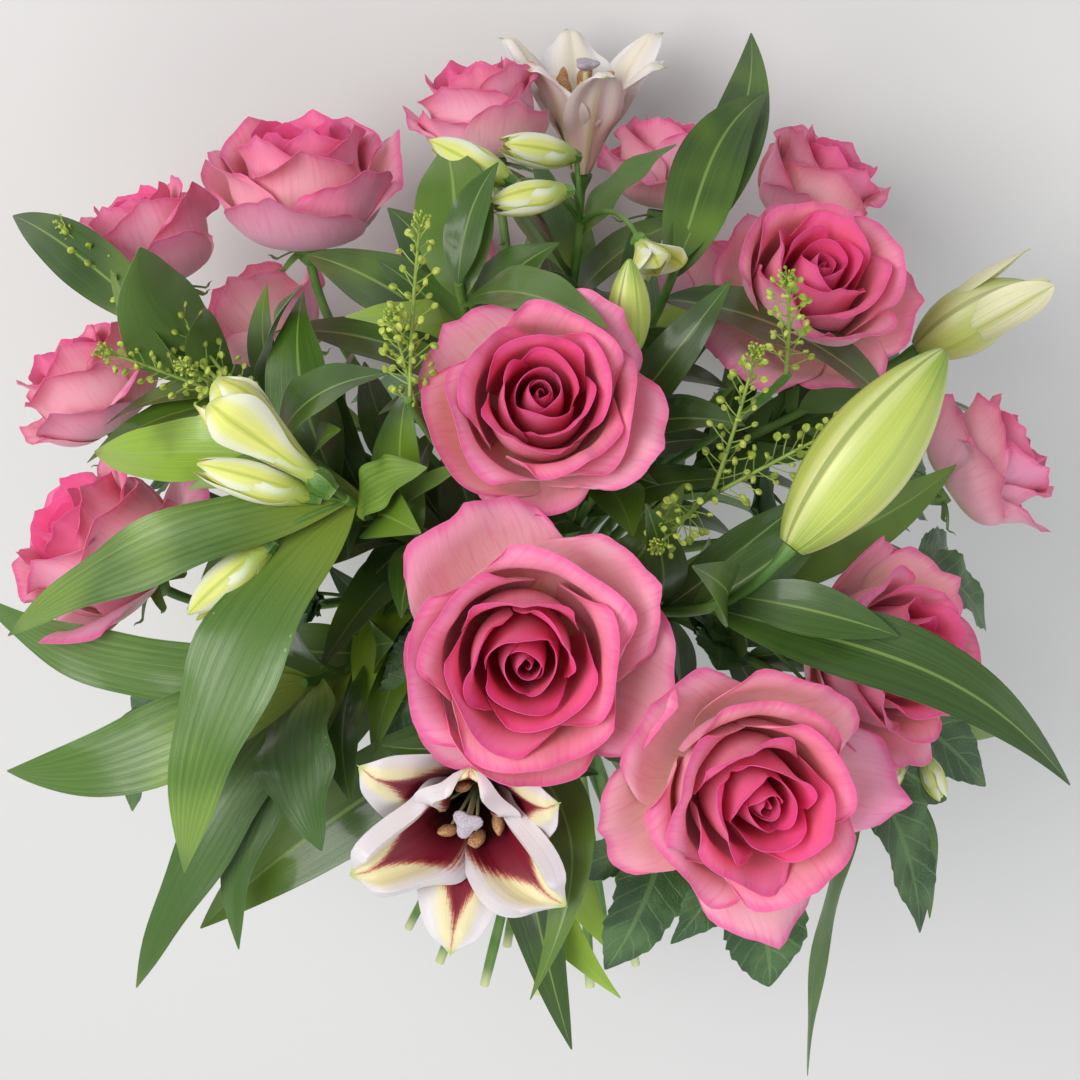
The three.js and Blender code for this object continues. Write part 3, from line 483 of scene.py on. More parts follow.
def dye(code):
    """The linear colour of a web colour code."""
    parts = np.array([int(code[i:i + 2], 16) for i in (1, 3, 5)]) / 255
    return (*np.where(parts <= 0.04045, parts / 12.92, ((parts + 0.055) / 1.055) ** 2.4), 1.0)


def new_finish(name, constants):
    """A material with its constants on its own sockets, and p, what each point brings to it: its place
    and its growth as vectors, how far across the part it is, at what height along it and at what depth
    in the flower, the part's own tone, and whether the point is on the back."""
    finish = bpy.data.materials.new(name)
    finish.use_nodes = True
    for socket, value in constants.items():
        finish.node_tree.nodes["Principled BSDF"].inputs[socket].default_value = value
    start = Tint(finish.node_tree)
    p = SimpleNamespace(where=start.node("ShaderNodeTexCoord", {}, {}, "Object"))
    for kind, output in (("growth", "Vector"), ("tone", "Fac"), ("back", "Fac")):
        setattr(p, kind, start.node("ShaderNodeAttribute", {"attribute_name": kind}, {}, output))
    for axis, kind in enumerate(("across", "height", "depth")):
        setattr(p, kind, start.node("ShaderNodeSeparateXYZ", {}, {0: p.growth}, axis))
    return finish, p


rose_finish, p = new_finish("rose_petal_satin", {
    "Roughness": 0.48, "Subsurface Weight": 0.35, "Subsurface Radius": (1.0, 0.4, 0.36),
    "Subsurface Scale": 0.005, "Sheen Weight": 0.06, "Sheen Roughness": 0.5, "Specular IOR Level": 0.35})
streaks = p.growth.grain(3.0, (7.0, 0.8, 3.0))
clouds = p.where.grain(42.0)
inner = p.tone.towards("#fbc6bb", "#fac0d0").painted(
    ((p.height + (clouds - 0.5) * 0.5).within(0.45, 0.0), "#f3dba6"),
    (p.depth.within(0.0, 1.0), "#f9507c"))
outer = p.tone.towards("#fba8c4", "#fbb4ba").painted(
    (p.depth.within(0.3, 1.0), "#f8789f"),
    ((p.height + (clouds - 0.5) * 0.4).within(0.5, 0.0), "#f1cfae"))
blush = (p.height + (clouds - 0.5) * 0.3 + (streaks - 0.5) * 0.12).within(0.62, 1.02)
hem = (p.height + (streaks - 0.5) * 0.05 + p.across * p.across * 0.02).within(0.93, 1.0)
p.back.towards(inner, outer).painted(
    (streaks.within(0.5, 0.7) * 0.22, "#ea6c92"),
    (blush * (0.6 - 0.15 * p.back), "#f15ca2"),
    (hem * 0.62, "#ea3a8a")).into("Base Color")
p.growth.grain(3.0, (26.0, 1.0, 3.0)).raised(0.2, 0.0006)


def rose_petals(open_by, seed, axes, heart):
    """The petals of one rose from its heart outwards: those of the cup stand each a golden turn on from
    the last, and the guard petals a fifth of a turn apart, each fallen its own way and held up where a
    neighbour is in its way."""
    rng = np.random.default_rng(seed)
    parts = []
    for i in range(CUP_PETALS + GUARD_PETALS):
        age = min(i / (CUP_PETALS - 1), 1)
        tables = RIM_RADIUS, RIM_HEIGHT, BELLY_RADIUS, NECK_RADIUS, HALF_WIDTH, RIM_ROLL, LAP
        rim_r, rim_h, belly_r, neck_r, half_width, roll, lap = (
            np.interp(age, PETAL_AGE, table) for table in tables)
        jitter = rng.normal(0, 1, 6)
        if i < CUP_PETALS:
            wide = 1 + (open_by - 1) * 0.6 * age
            points, u, v = petal(
                rim=(rim_r * wide, rim_h + 0.8 * jitter[1] * age),
                belly=((belly_r, 4), (neck_r * wide, 0.66 * rim_h)),
                half_width=half_width * (1 + 0.08 * jitter[2]),
                roll=roll * (1.8 * open_by - 0.8) * (1 + 0.12 * jitter[3]), lap=lap, corner=0.17,
                ruffle=0.2 + 1.1 * age ** 2, point=0.055 * ease(0.2, 0.6, age), wrap=2.3, tilt=(0, 0),
                rng=rng)
            turn = i * GOLDEN_TURN + 0.1 * rng.normal()
            deep = 1 - 0.8 * ease(0.35, 1, age)
        else:
            turn = (i + 0.4) * 2 * math.pi / GUARD_PETALS + 0.2 * rng.normal()
            held = crowding(axes @ spoke(turn), heart)
            rim_r = GUARD_RIM[0] * open_by * (1 + 0.07 * jitter[0]) * (1 - 0.36 * held)
            points, u, v = petal(
                rim=(rim_r, min(GUARD_RIM[1] + 5 * jitter[1] + 16 * held, 42)),
                belly=((27, 0), (37 * (0.3 + 0.7 * open_by), 13 + 2 * jitter[1] + 9 * held)),
                half_width=GUARD_HALF_WIDTH * (1 + 0.08 * jitter[2]),
                roll=GUARD_ROLL * (1 + 0.3 * jitter[3]),
                lap=1.5, corner=0.2, ruffle=2.4, point=0.08, wrap=1.2,
                tilt=((1 - held) * 0.07 * jitter[4], 0.1 * jitter[5]), rng=rng)
            deep = 0.0
        spin = np.column_stack([spoke(turn), spoke(turn + math.pi / 2), (0, 0, 1)])
        part = shell(points, 0.45 + 0.3 * age, u, v, depth=deep, tone=rng.uniform(0, 1))
        parts.append(moved(part, spin, np.zeros(3)))
    return parts


for i, (heart, _, size, spin, open_by) in enumerate(ROSES):
    name = f"rose_{i + 1:02d}"
    _, end, facing = stems[name]
    axes = turned(facing, spin)
    petals = [moved(part, axes, end + facing * SEAT_GAP, size)
              for part in rose_petals(open_by, BLOOM_SEED + i, axes, place(heart))]
    show(f"{name}_petals", petals, [rose_finish], "rose_petal", f"{name}_bloom")


# ---- Rose stems, sepals and leaves
# Woody green stems, thicker below, with a cut pale end, a few thorns, and five long sepals turned back
# under each bloom. The leaves are made of saw-edged leaflets on a thin common stalk.

STEM_RADIUS = 2.5
STEM_TAPER = 0.2
STEM_JOINTS = 9
NECK_UNDER_FLOWER = 2.3
RECEPTACLE = 6
SEPALS = 5
SEPAL_REACH = 19
SEPAL_HALF_WIDTH = 4.2
THORNS = 7
THORN_SPAN = (0.34, 0.86)
ROSE_STEM_SEED = 40
ROSE_LEAVES = [  # which rose, where on its stem, where its tip hangs, width of the end leaflet
    (3, 0.8, (72, -110, 205), 34), (4, 0.8, (90, -58, 215), 36), (6, 0.75, (58, 172, 178), 30),
    (10, 0.85, (62, 14, 198), 30), (11, 0.82, (96, 27, 216), 42), (11, 0.78, (92, 8, 196), 36),
    (12, 0.8, (92, 43, 238), 36), (12, 0.72, (88, 62, 226), 34), (13, 0.8, (84, 84, 214), 34),
    (13, 0.7, (70, 112, 216), 36), (14, 0.75, (86, 128, 190), 34), (15, 0.75, (86, -108, 204), 34),
    (16, 0.75, (84, -150, 176), 32), (4, 0.6, (56, -58, 160), 34), (3, 0.62, (50, -68, 156), 32),
    (12, 0.6, (57, 45, 128), 30), (10, 0.62, (65, -36, 128), 32), (13, 0.66, (60, 78, 194), 32),
    (4, 0.66, (58, -61, 136), 36), (10, 0.66, (76, -36, 128), 32), (13, 0.6, (43, 73, 157), 40),
    (12, 0.66, (62, 42, 131), 34),
]


def sheet(rows, columns):
    """How far along (0 to 1) and how far across (-1 to 1) each point of a grid is."""
    return np.meshgrid(np.linspace(0, 1, rows), np.linspace(-1, 1, columns), indexing="ij")


def hump(share, low, high, skew=1.0, blunt=1.0):
    """Nought to one and back as a half sine, cut short at both ends. The skew moves its top on."""
    return np.sin(math.pi * np.clip(share, low, high) ** skew) ** blunt


def tube(path, radii, sides=10, tone=0.5, depth=0.0, coat=0, section=None):
    """A closed round tube along a path. Its rings stand square to the path, all from one fixed side
    direction, and a section may swell each ring by its angle."""
    path = np.asarray(path, float)
    along_it = np.linspace(0, 1, len(path))
    tangent = unit(np.gradient(path, axis=0))
    side = np.eye(3)[np.argmin(np.abs(tangent).max(axis=0))]
    across = unit(side - tangent * (tangent @ side)[:, None])
    over = np.cross(tangent, across)
    angle = np.linspace(0, 2 * math.pi, sides, endpoint=False)
    radii = np.broadcast_to(np.asarray(radii, float), (len(path),))[:, None] + 0 * angle
    if section is not None:
        radii = radii * section(along_it[:, None], angle[None, :])
    rings = (path[:, None] + across[:, None] * (radii * np.cos(angle))[..., None]
             + over[:, None] * (radii * np.sin(angle))[..., None])
    count, grid = rings.shape[0] * sides, np.arange(rings.shape[0] * sides).reshape(-1, sides)
    beside = np.roll(grid, -1, axis=1)
    quads = np.stack([grid[:-1], beside[:-1], beside[1:], grid[1:]], -1).reshape(-1, 4)
    caps = [np.stack([beside[0], grid[0], np.full(sides, count)], -1),
            np.stack([grid[-1], beside[-1], np.full(sides, count + 1)], -1)]
    growth = np.stack([np.tile(angle / math.pi - 1, len(path)), np.repeat(along_it, sides),
                       np.full(count, depth)], -1)
    return {
        "points": np.concatenate([rings.reshape(-1, 3), path[:1], path[-1:]]),
        "quads": quads,
        "tris": np.concatenate(caps),
        "growth": np.concatenate([growth, [(0, 0, depth), (0, 1, depth)]]),
        "tone": np.full(count + 2, tone),
        "back": np.zeros(count + 2),
        "coat": coat,
    }


def stem(name, radius, neck=(), tone=0.5, coat=0):
    """A stem from its cut end to its flower, losing a sixth of its radius on the way up and widening
    into its neck, with a slight swelling at every joint."""
    share = np.concatenate([np.linspace(0, 0.94, 44), np.linspace(0.95, 1, 8)])
    radii = radius * (1 - STEM_TAPER * np.maximum(0, share - STRAIGHT))
    radii = radii * (1 + 0.12 * np.exp(-(((share * STEM_JOINTS + tone) % 1 - 0.5) / 0.06) ** 2))
    if neck:
        radii = radii + (neck[0] - radii) * ease(0.9, 0.955, share)
        radii = radii + (neck[1] - neck[0]) * ease(0.965, 1, share)
    return tube(along(name, share), radii, tone=tone, coat=coat)


def blade_axes(base, tip):
    """The run from base to tip, its length, its side, and its way up, which is away from the tie."""
    run = tip - base
    side = unit(np.cross(run, unit(base + tip)))
    return run, np.linalg.norm(run), side, unit(np.cross(side, run))


def leaf(base, tip, width, arch, saw=0, fold=0.25, widest=0.42, full=0.85, wave=0.0, sway=0.0,
         twist=0.0, thick=0.5, tone=0.5, coat=0, rows=29, columns=9):
    """A leaf from base to tip as a thin skin. Its midrib arches outwards from the bunch and may sway to
    one side. Its half width follows a sine moved towards the base, and saw teeth may cut it. The blade
    is folded along the rib, waved along its margin and twisted towards its tip."""
    u, v = sheet(rows, columns)
    run, length, side, up = blade_axes(base, tip)
    teeth = 1 + (saw and 0.11 * (((u * saw) % 1) - 0.5) * ease(0.04, 0.2, u) * ease(1, 0.9, u))
    half = width / 2 * hump(u, 0.004, 0.996, math.log(0.5) / math.log(widest), full)
    half = np.maximum(half * teeth, 0.35)
    turn = math.radians(twist) * u ** 1.5
    ruffle = wave * half * v ** 2 * np.sin(u * math.pi * 5 + 3 * tone + 1.2 * v)
    lift = arch * length * 4 * u * (1 - u)
    flat, rise = -v * half, fold * half * (np.sqrt(v ** 2 + 0.03) - 0.17) + ruffle
    points = (base + u[..., None] * run
              + up * (lift + rise * np.cos(turn) - flat * np.sin(turn))[..., None]
              + side * (flat * np.cos(turn) + rise * np.sin(turn)
                        + sway * length * np.sin(math.pi * u) * (u + 0.3))[..., None])
    return shell(points, thick, u, v, tone=tone, coat=coat)


def rose_leaf(name, at, tip, width, rng):
    """A rose leaf: a thin stalk that ends in a large leaflet, with a smaller one on each side."""
    base, tip = along(name, at), place(tip)
    run, length, side, up = blade_axes(base, tip)
    fork = base + 0.4 * run + up * 0.12 * length * 0.96
    t = np.linspace(0, 1, 12)[:, None]
    stalk = base + (fork - base) * t + up * 0.02 * length * np.sin(math.pi * t)
    parts = [tube(stalk, 0.9, 6)]
    tone = rng.uniform(0, 1)
    look = dict(saw=11, fold=0.2, widest=0.45, full=0.8, wave=0.12, thick=0.4, coat=1, rows=45)
    parts.append(leaf(fork, tip, width, arch=0.1, tone=tone, twist=rng.uniform(-20, 20), **look))
    for way in (-1, 1):
        end = fork + 0.3 * run + side * way * 0.34 * length - up * 0.06 * length
        parts.append(leaf(fork, end, 0.68 * width, arch=0.08, tone=tone + 0.1 * way, **look))
    return parts


def sepals(end, facing, spin, rng):
    """The calyx: a small green cup and five long pointed sepals bent down and back."""
    axes = turned(facing, spin)
    parts = []
    for turn in np.arange(SEPALS) * 2 * math.pi / SEPALS:
        out = axes @ spoke(turn)
        u, v = sheet(13, 5)
        half = np.maximum(SEPAL_HALF_WIDTH * (1 - u) ** 0.8 * (0.75 + 0.6 * u), 0.25)
        reach = 3 + (SEPAL_REACH + 2 * rng.normal()) * u
        drop = -2.5 - 9 * u ** 1.6 + 5 * ease(0.75, 1, u)
        points = (end + out * reach[..., None] + facing * (drop + 0.25 * half * v ** 2)[..., None]
                  + np.cross(facing, out) * (v * half)[..., None])
        parts.append(shell(points, 0.5, u, v, tone=0.7))
    t = np.linspace(0, 1, 10)
    cup = tube(end + facing * (-9 + 9.3 * t)[:, None], 2.4 + 4.4 * np.sin(t * 1.9), 12, 0.6)
    return parts + [cup]


stem_finish, p = new_finish("green_stem", {
    "Roughness": 0.5, "Subsurface Weight": 0.05, "Subsurface Scale": 0.002})
streaks = p.growth.grain(2.0, (14.0, 5.0, 1.0))
p.where.grain(60.0).within(0.3, 0.7).towards("#4d7a2c", "#75964a").painted(
    (streaks.within(0.45, 0.7) * 0.5, "#35591f"),
    (p.height.within(0.012, 0.0), "#cdd6a0")).into("Base Color")
streaks.raised(0.25, 0.0008)

rose_leaf_finish, p = new_finish("rose_leaf", {"Roughness": 0.42})
mid = (p.across * p.across).within(0.012, 0.0)
slant = (p.height - abs(p.across) * 0.16) * 9.0
side_vein = abs(slant.sum("FRACT") - 0.5).within(0.12, 0.0)
net = p.where.node("ShaderNodeTexVoronoi", {"feature": "DISTANCE_TO_EDGE"},
                 {"Vector": p.where, "Scale": 420.0}, "Distance")
vein = mid.sum("MAXIMUM", side_vein * 0.7)
p.tone.towards("#2c4a26", "#42663a").painted(
    (p.where.grain(45.0).within(0.4, 0.7), "#567a46"),
    (vein * 0.32, "#86a868"),
    (p.back, "#7e9c78")).into("Base Color")
((1 - vein) * 0.6 + net.within(0.0, 0.12) * 0.25).raised(0.5, 0.0008)

for i, (_, _, size, spin, _) in enumerate(ROSES):
    name = f"rose_{i + 1:02d}"
    rng = np.random.default_rng(ROSE_STEM_SEED + i)
    _, end, facing = stems[name]
    parts = [stem(name, STEM_RADIUS, (NECK_UNDER_FLOWER, RECEPTACLE * size * 0.85), rng.uniform(0, 1))]
    parts += sepals(end, facing, spin, rng)
    for thorn in np.linspace(*THORN_SPAN, THORNS):
        spot = along(name, thorn)
        out = unit(np.cross(along(name, thorn + 0.01) - spot, rng.normal(0, 1, 3)))
        t = np.linspace(0, 1, 5)[:, None]
        point = spot + out * (1.6 + 4.2 * t) - unit(spot) * (1.6 * t ** 2)
        parts.append(tube(point, 1.5 * (1 - t[:, 0]) ** 1.2 + 0.06, 6, 0.9))
    for which, at, tip, width in ROSE_LEAVES:
        if which == i + 1:
            parts += rose_leaf(name, at, tip, width, rng)
    show(f"{name}_stalk", parts, [stem_finish, rose_leaf_finish], "rose_green", f"{name}_stem")


# ---- Leafy stems: lilies, alstroemeria and glossy foliage
# Smooth stems with long pointed leaves set straight on them. Foliage leaves are dark and glossy with
# fine parallel veins, and alstroemeria leaves are flatter, paler and strongly ribbed.

LEAF_ARCH = 0.12  # how far a midrib rises off the straight line, as a share of its length
FILLERS = 9  # short leaves tried on each stem inside the bunch
FILLER_SPAN = (0.48, 0.88)  # shares of the stem between which they leave it
FILLER_LENGTH = (52, 74)
FILLER_WIDTH = (20, 27)
CLEAR_OF_HEART = 44  # least distance of a filler's tip from the heart of a rose or lily
LEAVES = {  # stem: where each leaf leaves it, where its tip is, width, for some arch, sway and tone
    "lily_front": [
        (0.74, (87, -1, 222), 27, 0.2, -0.3, 0.75), (0.62, (107, 4, 207), 30, 0.1, 0.0, 0.15),
        (0.55, (94, 10, 186), 34, 0.14), (0.74, (98, -44, 218), 38, 0.1, 0.04, 0.45),
        (0.6, (104, 11, 190), 32, 0.1, 0.1, 0.9)],
    "lily_back": [(0.75, (33, -170, 214), 22, 0.1), (0.62, (58, 176, 186), 26, 0.14)],
    "lily_bud_large": [(0.82, (72, 50, 286), 30), (0.7, (41, 55, 206), 20), (0.62, (54, 80, 226), 30)],
    "lily_bud_opening": [(0.72, (66, 118, 224), 24), (0.6, (50, 140, 205), 24)],
    "lily_bud_small": [(0.85, (20, 75, 236), 20, 0.1), (0.7, (30, 30, 190), 20, 0.1)],
    "alstroemeria_left": [
        (0.99, (67, -64, 266), 30, 0.16), (0.97, (79, -38, 238), 40, 0.2), (0.96, (30, -24, 216), 25),
        (0.9, (27, -15, 208), 9, 0.08), (0.9, (46, -62, 226), 22, 0.14)],
    "alstroemeria_lower": [
        (0.98, (81, -61, 264), 34, 0.18), (0.97, (71, -75, 268), 28), (0.95, (78, -28, 196), 42, 0.2),
        (0.9, (100, -45, 254), 28), (0.86, (94, -36, 220), 32, 0.14)],
    "alstroemeria_top": [(0.96, (22, 140, 248), 18, 0.1), (0.9, (21, -178, 232), 18, 0.1)],
    "alstroemeria_right": [
        (0.95, (100, 27, 252), 17, 0.12, 0.24, 0.5), (0.92, (96, 48, 232), 22),
        (0.86, (88, 70, 222), 24)],
    "foliage_upper_left": [
        # The first leaf here has a high tone to paint the light from above that falls on it: its bright
        # yellow green is painted light.
        (0.88, (35, -85, 284), 44, 0.14, 0.05, 0.95), (0.86, (41, -92, 276), 32),
        (1, (54, -109, 316), 26, 0.1), (0.78, (26, -90, 228), 30, 0.14), (0.8, (58, -84, 236), 30),
        (0.7, (62, -112, 216), 30)],
    "foliage_left": [
        (1, (23, -42, 226), 28, 0.16), (0.95, (55, -82, 238), 30, 0.16),
        (0.85, (28, -97, 218), 38, 0.14), (0.8, (60, -60, 196), 32, 0.14), (0.62, (54, -56, 168), 28),
        (0.56, (60, -42, 160), 28), (0.5, (66, -34, 150), 26), (0.46, (73, -31, 146), 30),
        (0.42, (67, -41, 142), 28), (0.42, (43, -37, 134), 28)],
    "foliage_top": [
        (0.97, (14, -139, 252), 34, 0.16), (1, (5, -130, 256), 18), (0.96, (18, 20, 246), 30, 0.14),
        (0.9, (3, 40, 232), 28, 0.14), (0.86, (22, -66, 230), 30, 0.14), (0.84, (30, -112, 222), 32),
        (0.8, (22, -128, 226), 30), (0.76, (36, -100, 204), 30)],
    "foliage_upper_right": [
        (1, (33, 144, 300), 27, 0.03, 0.06, 0.3), (0.97, (28, 131, 280), 30, 0.09, -0.08, 0.1),
        (0.93, (46, 80, 220), 40), (0.85, (54, 122, 206), 30)],
    "foliage_right": [
        (1, (70, 104, 244), 32, 0.14), (0.95, (60, 122, 240), 32), (0.9, (82, 112, 208), 32, 0.14),
        (0.8, (50, 104, 200), 28, 0.14)],
    "foliage_back": [
        (1, (50, 176, 226), 34, 0.1), (0.95, (72, -176, 166), 30, 0.1), (0.9, (78, -148, 172), 30),
        (0.85, (66, 160, 190), 30, 0.1)],
}

gloss_finish, p = new_finish("glossy_leaf", {
    "Roughness": 0.34, "Coat Roughness": 0.15, "Coat Weight": 0.4})
lines = p.growth.grain(3.0, (22.0, 0.3, 1.0))
mid = (p.across * p.across).within(0.004, 0.0)
p.tone.towards("#28430f", "#46691c").painted(
    # Leaves of high tone are painted bright yellow green. For most this is their own tone, but on the
    # first foliage_upper_left leaf it is painted light.
    (p.tone.within(0.68, 0.95), "#97b832"),
    (p.where.grain(13.0).within(0.5, 0.72) * 0.6, "#83a52c"),
    (lines.within(0.42, 0.64) * 0.3, "#5b8234"),
    (p.where.grain(30.0).within(0.5, 0.75) * 0.45, "#1a2e0c"),
    (mid * 0.55, "#94b05a"),
    (p.back, "#6d8c4c")).into("Base Color")
(lines - mid * 0.5).raised(0.3, 0.0008)

ribbed_finish, p = new_finish("ribbed_leaf", {
    "Roughness": 0.36, "Coat Roughness": 0.22, "Coat Weight": 0.25})
fine = p.growth.grain(3.0, (26.0, 0.35, 1.0))
clouds = p.where.grain(16.0)
ribs = (p.across * 27.0 + fine * 9.0).sum("SINE") * 0.5 + 0.5
p.tone.towards("#365a1e", "#5b802e").painted(
    (clouds.within(0.46, 0.7) * 0.6, "#87a63c"),
    # Yellower towards the foot of the leaf: painted light shining through the thin blade there.
    (p.height.within(0.35, 0.0) * 0.5, "#a8b83c"),
    (ribs.within(0.35, 1.0) * clouds.within(0.3, 0.65) * 0.24, "#9cb96a"),
    (fine.within(0.45, 0.66) * 0.45, "#294418"),
    (p.back, "#88a578")).into("Base Color")
(ribs * 0.4 + fine * 0.8).raised(0.34, 0.001)


def leafy(name, coat, rng):
    """The leaves of one stem, and shorter ones lower down that fill the inside of the bunch, save where
    they would run into a flower."""
    parts = []
    look = dict(fold=0.12, wave=0.16) if coat == 2 else dict(fold=0.25, wave=0.06)
    for at, tip, width, *own in LEAVES[name]:
        sway, tone = 0.05 * rng.normal(), rng.uniform(0, 0.95)
        arch, *own = own or [LEAF_ARCH]
        if own:
            sway, tone = own
        parts.append(leaf(along(name, at), place(tip), width, arch, coat=coat, tone=tone,
                          sway=sway, twist=rng.uniform(-18, 18), columns=11, **look))
    turn = rng.uniform(0, 2 * math.pi)
    for at in np.linspace(*FILLER_SPAN, FILLERS):
        turn += GOLDEN_TURN
        base = along(name, at)
        ahead = unit(along(name, at + 0.02) - base)
        x = unit(np.cross(ahead, (0.3, 0.9, 0.1)))
        out = unit(ahead * 0.8 + x * math.cos(turn) + np.cross(ahead, x) * math.sin(turn))
        tip = base + out * rng.uniform(*FILLER_LENGTH)
        filler = leaf(base, tip, rng.uniform(*FILLER_WIDTH), LEAF_ARCH, coat=1, tone=rng.uniform(0, 0.5),
                      twist=rng.uniform(-20, 20), rows=17, columns=7)
        if np.linalg.norm(hearts - tip, axis=1).min() > CLEAR_OF_HEART:
            parts.append(filler)
    return parts


# ---- Lilies
# One half open lily whose cream petals carry a burgundy flame up from the throat, seen from above into
# its six tan anthers and three-lobed stigma, and one white lily, seen from outside. Both are waxy.

LILY_PETALS = 6
TEPAL_HALF_WIDTHS = (14, 17)  # of an outer and of an inner petal
LILY_SEED = 70

lily_finish, p = new_finish("lily_petal_wax", {
    "Roughness": 0.4, "Subsurface Weight": 0.15, "Subsurface Radius": (1.0, 0.8, 0.6),
    "Subsurface Scale": 0.004})
speck = p.where.grain(900.0, detail=1.0)
lines = p.growth.grain(2.5, (22.0, 0.7, 1.0))
wide = abs(p.across) + (lines - 0.5) * 0.3 + (speck - 0.5) * 0.12
flame = p.height.within(0.9, 0.5) * (0.56 + 0.22 * p.tone) - wide + 0.02
flamed = (wide - 0.1 * p.tone).within(0.4, 0.7).towards("#e6dcae", "#ded7da").painted(
    (flame.within(-0.12, 0.06), "#cb7a66"),
    (flame.within(-0.05, 0.14), "#7a1029"),
    (p.height.within(0.66, 0.3), "#24050b"))
plain = wide.within(0.3, 0.8).towards("#f3e8d6", "#f5f0ee").painted(
    (p.height.within(0.35, 0.0) * 0.8, "#c9cf86"))
outside = p.height.within(0.05, 0.75).towards("#efc4b4", "#efe3df").painted(
    (abs(p.across).within(0.25, 0.0) * p.height.within(1.0, 0.3), "#d9c9a0"))
p.depth.within(0.3, 0.9).towards(plain, flamed).painted(
    (p.back, outside),
    (p.height.within(0.95, 1.0), "#b7c878")).into("Base Color")
(lines + abs(p.across).within(0.12, 0.0) * -0.6).raised(0.3, 0.0008)

stamen_finish, p = new_finish("lily_anther", {"Roughness": 0.75})
dust = p.where.grain(1500.0)
pollen = dust.within(0.3, 0.7).towards("#a06a44", "#d9ab78")
thread = p.height.within(0.0, 0.8).towards("#8f9a52", "#d9d3a2")
lobe = dust.within(0.3, 0.7).towards("#a79aa8", "#c3bac6")
thread.painted(
    (p.depth.within(0.2, 0.3), pollen),
    (p.depth.within(0.7, 0.8), lobe)).into("Base Color")
dust.raised(0.5, 0.0005)


def wound(radius, angle, height):
    """Points round the z axis."""
    return np.stack([radius * np.cos(angle), radius * np.sin(angle), height], -1)


def tepal(reach, flare, broad, inner, cupped, turn, colour_depth):
    """One lily petal round the z axis: a long spoon that rises from the throat, opens to its flare and
    turns its tip back. It is widest past its middle and ends in a point. A cupped petal lifts its
    margins and rolls their borders out, a flat one turns them back, and the inner ones wave most."""
    u, v = sheet(37, 19)
    radius = bezier(u, 5, 13, 22 - 3 * inner, flare) - 1.6 * inner
    height = bezier(u, 1.4, 0.34 * reach, 0.8 * reach, reach * (0.94 if inner else 1))
    half = broad * TEPAL_HALF_WIDTHS[inner] * hump(u, 0.03, 0.995, 1.25, 0.8)
    half = np.maximum(half + 2.2 * (1 - u), 0.3)
    grown = ease(0.25, 0.5, u) * ease(1.0, 0.86, u)
    margin, hem = ease(0.35, 0.8, np.abs(v)) * grown, ease(0.72, 1, np.abs(v)) * grown
    wave = (3.6 if inner else 0.6) * np.sin(u * 15 + 2.6 * np.sign(v) + turn) * v ** 2 * grown
    out = radius + cupped * (6 * hem - 4 * margin) + (1 - cupped) * 3 * margin
    out = out + wave * 0.8 + 1.2 * np.exp(-((v / 0.16) ** 2))
    height = height + cupped * (9 * margin - 6 * hem) - (1 - cupped) * 2 * margin
    height = height + wave * 0.6 - 5 * ease(0.88, 1, u)
    angle = turn + v * half / np.maximum(radius, 6.5)
    return shell(wound(out, angle, height), 1.1, u, v, colour_depth, inner)


for lily_name, heart, _, reach, flare, spin in LILIES:
    name = f"lily_{lily_name}"
    rng = np.random.default_rng(LILY_SEED + len(lily_name))
    _, end, facing = stems[name]
    axes, foot = turned(facing, spin), end + facing * SEAT_GAP
    petals = []
    front = lily_name == "front"
    for i in range(LILY_PETALS):
        turn = i * 2 * math.pi / LILY_PETALS
        held = crowding(axes @ spoke(turn), place(heart))
        pressed = 1 - (0.5 if front else 0.25) * held
        part = tepal(reach, flare * pressed, 1.25 if front else 0.86, i % 2, i % 2 if front else 0, turn,
                     1.0 if front else 0.0)
        petals.append(moved(part, axes, foot))
    show(f"{name}_tepals", petals, [lily_finish], "lily_petal", f"{name}_petals")

    axes, middle = turned(facing), np.array([0, 0, 1])
    tall = (0.62 if front else 0.74) * reach
    t = np.linspace(0, 1, 14)[:, None]
    threads = []
    for i in range(LILY_PETALS):
        out = spoke((i + 0.5) * 2 * math.pi / LILY_PETALS)
        path = out * (1 + 11 * t ** 1.3) + middle * (1 + (tall - 5) * t)
        threads.append(tube(path, 0.9 - 0.3 * t[:, 0], 6))
        tilt = unit(np.cross(out, middle) * 0.5 + out * 0.3 + middle * 0.8)
        anther = path[-1] + tilt * (11 * (t - 0.5))
        threads.append(tube(anther, 3.0 * hump(t[:, 0], 0.03, 0.97, blunt=0.6), depth=0.5,
                            section=lambda s, a: 1 - 0.18 * np.cos(2 * a)))
    threads.append(tube(middle * (tall + 3) * t, 2.6 - 1.3 * ease(0, 0.2, t[:, 0])))
    crown = middle * (tall + 2 + 5.5 * t)
    swell = 3.8 * np.sin(math.pi * 0.5 * np.clip(t[:, 0] * 1.5, 0, 1)) * ease(1.05, 0.7, t[:, 0])
    threads.append(tube(crown, 1.6 + swell, 24, depth=1.0,
                        section=lambda s, a: 1 + 0.26 * np.cos(3 * a)))
    show(f"{name}_heart", [moved(part, axes, foot) for part in threads], [stamen_finish], "lily_stamen",
         f"{name}_stamens")
    parts = [stem(name, STEM_RADIUS, (NECK_UNDER_FLOWER, RECEPTACLE * 0.9), 0.4)] + leafy(name, 1, rng)
    show(f"{name}_stalk", parts, [stem_finish, gloss_finish], "lily_green", f"{name}_stem")


# ---- Lily buds
# Three smooth yellow green buds, of three outer petals that meet in fine seams, each with a raised rib.
# Two are closed. The one that opens is cut short, and three cream petals stand off it.

BUD_SEED = 90

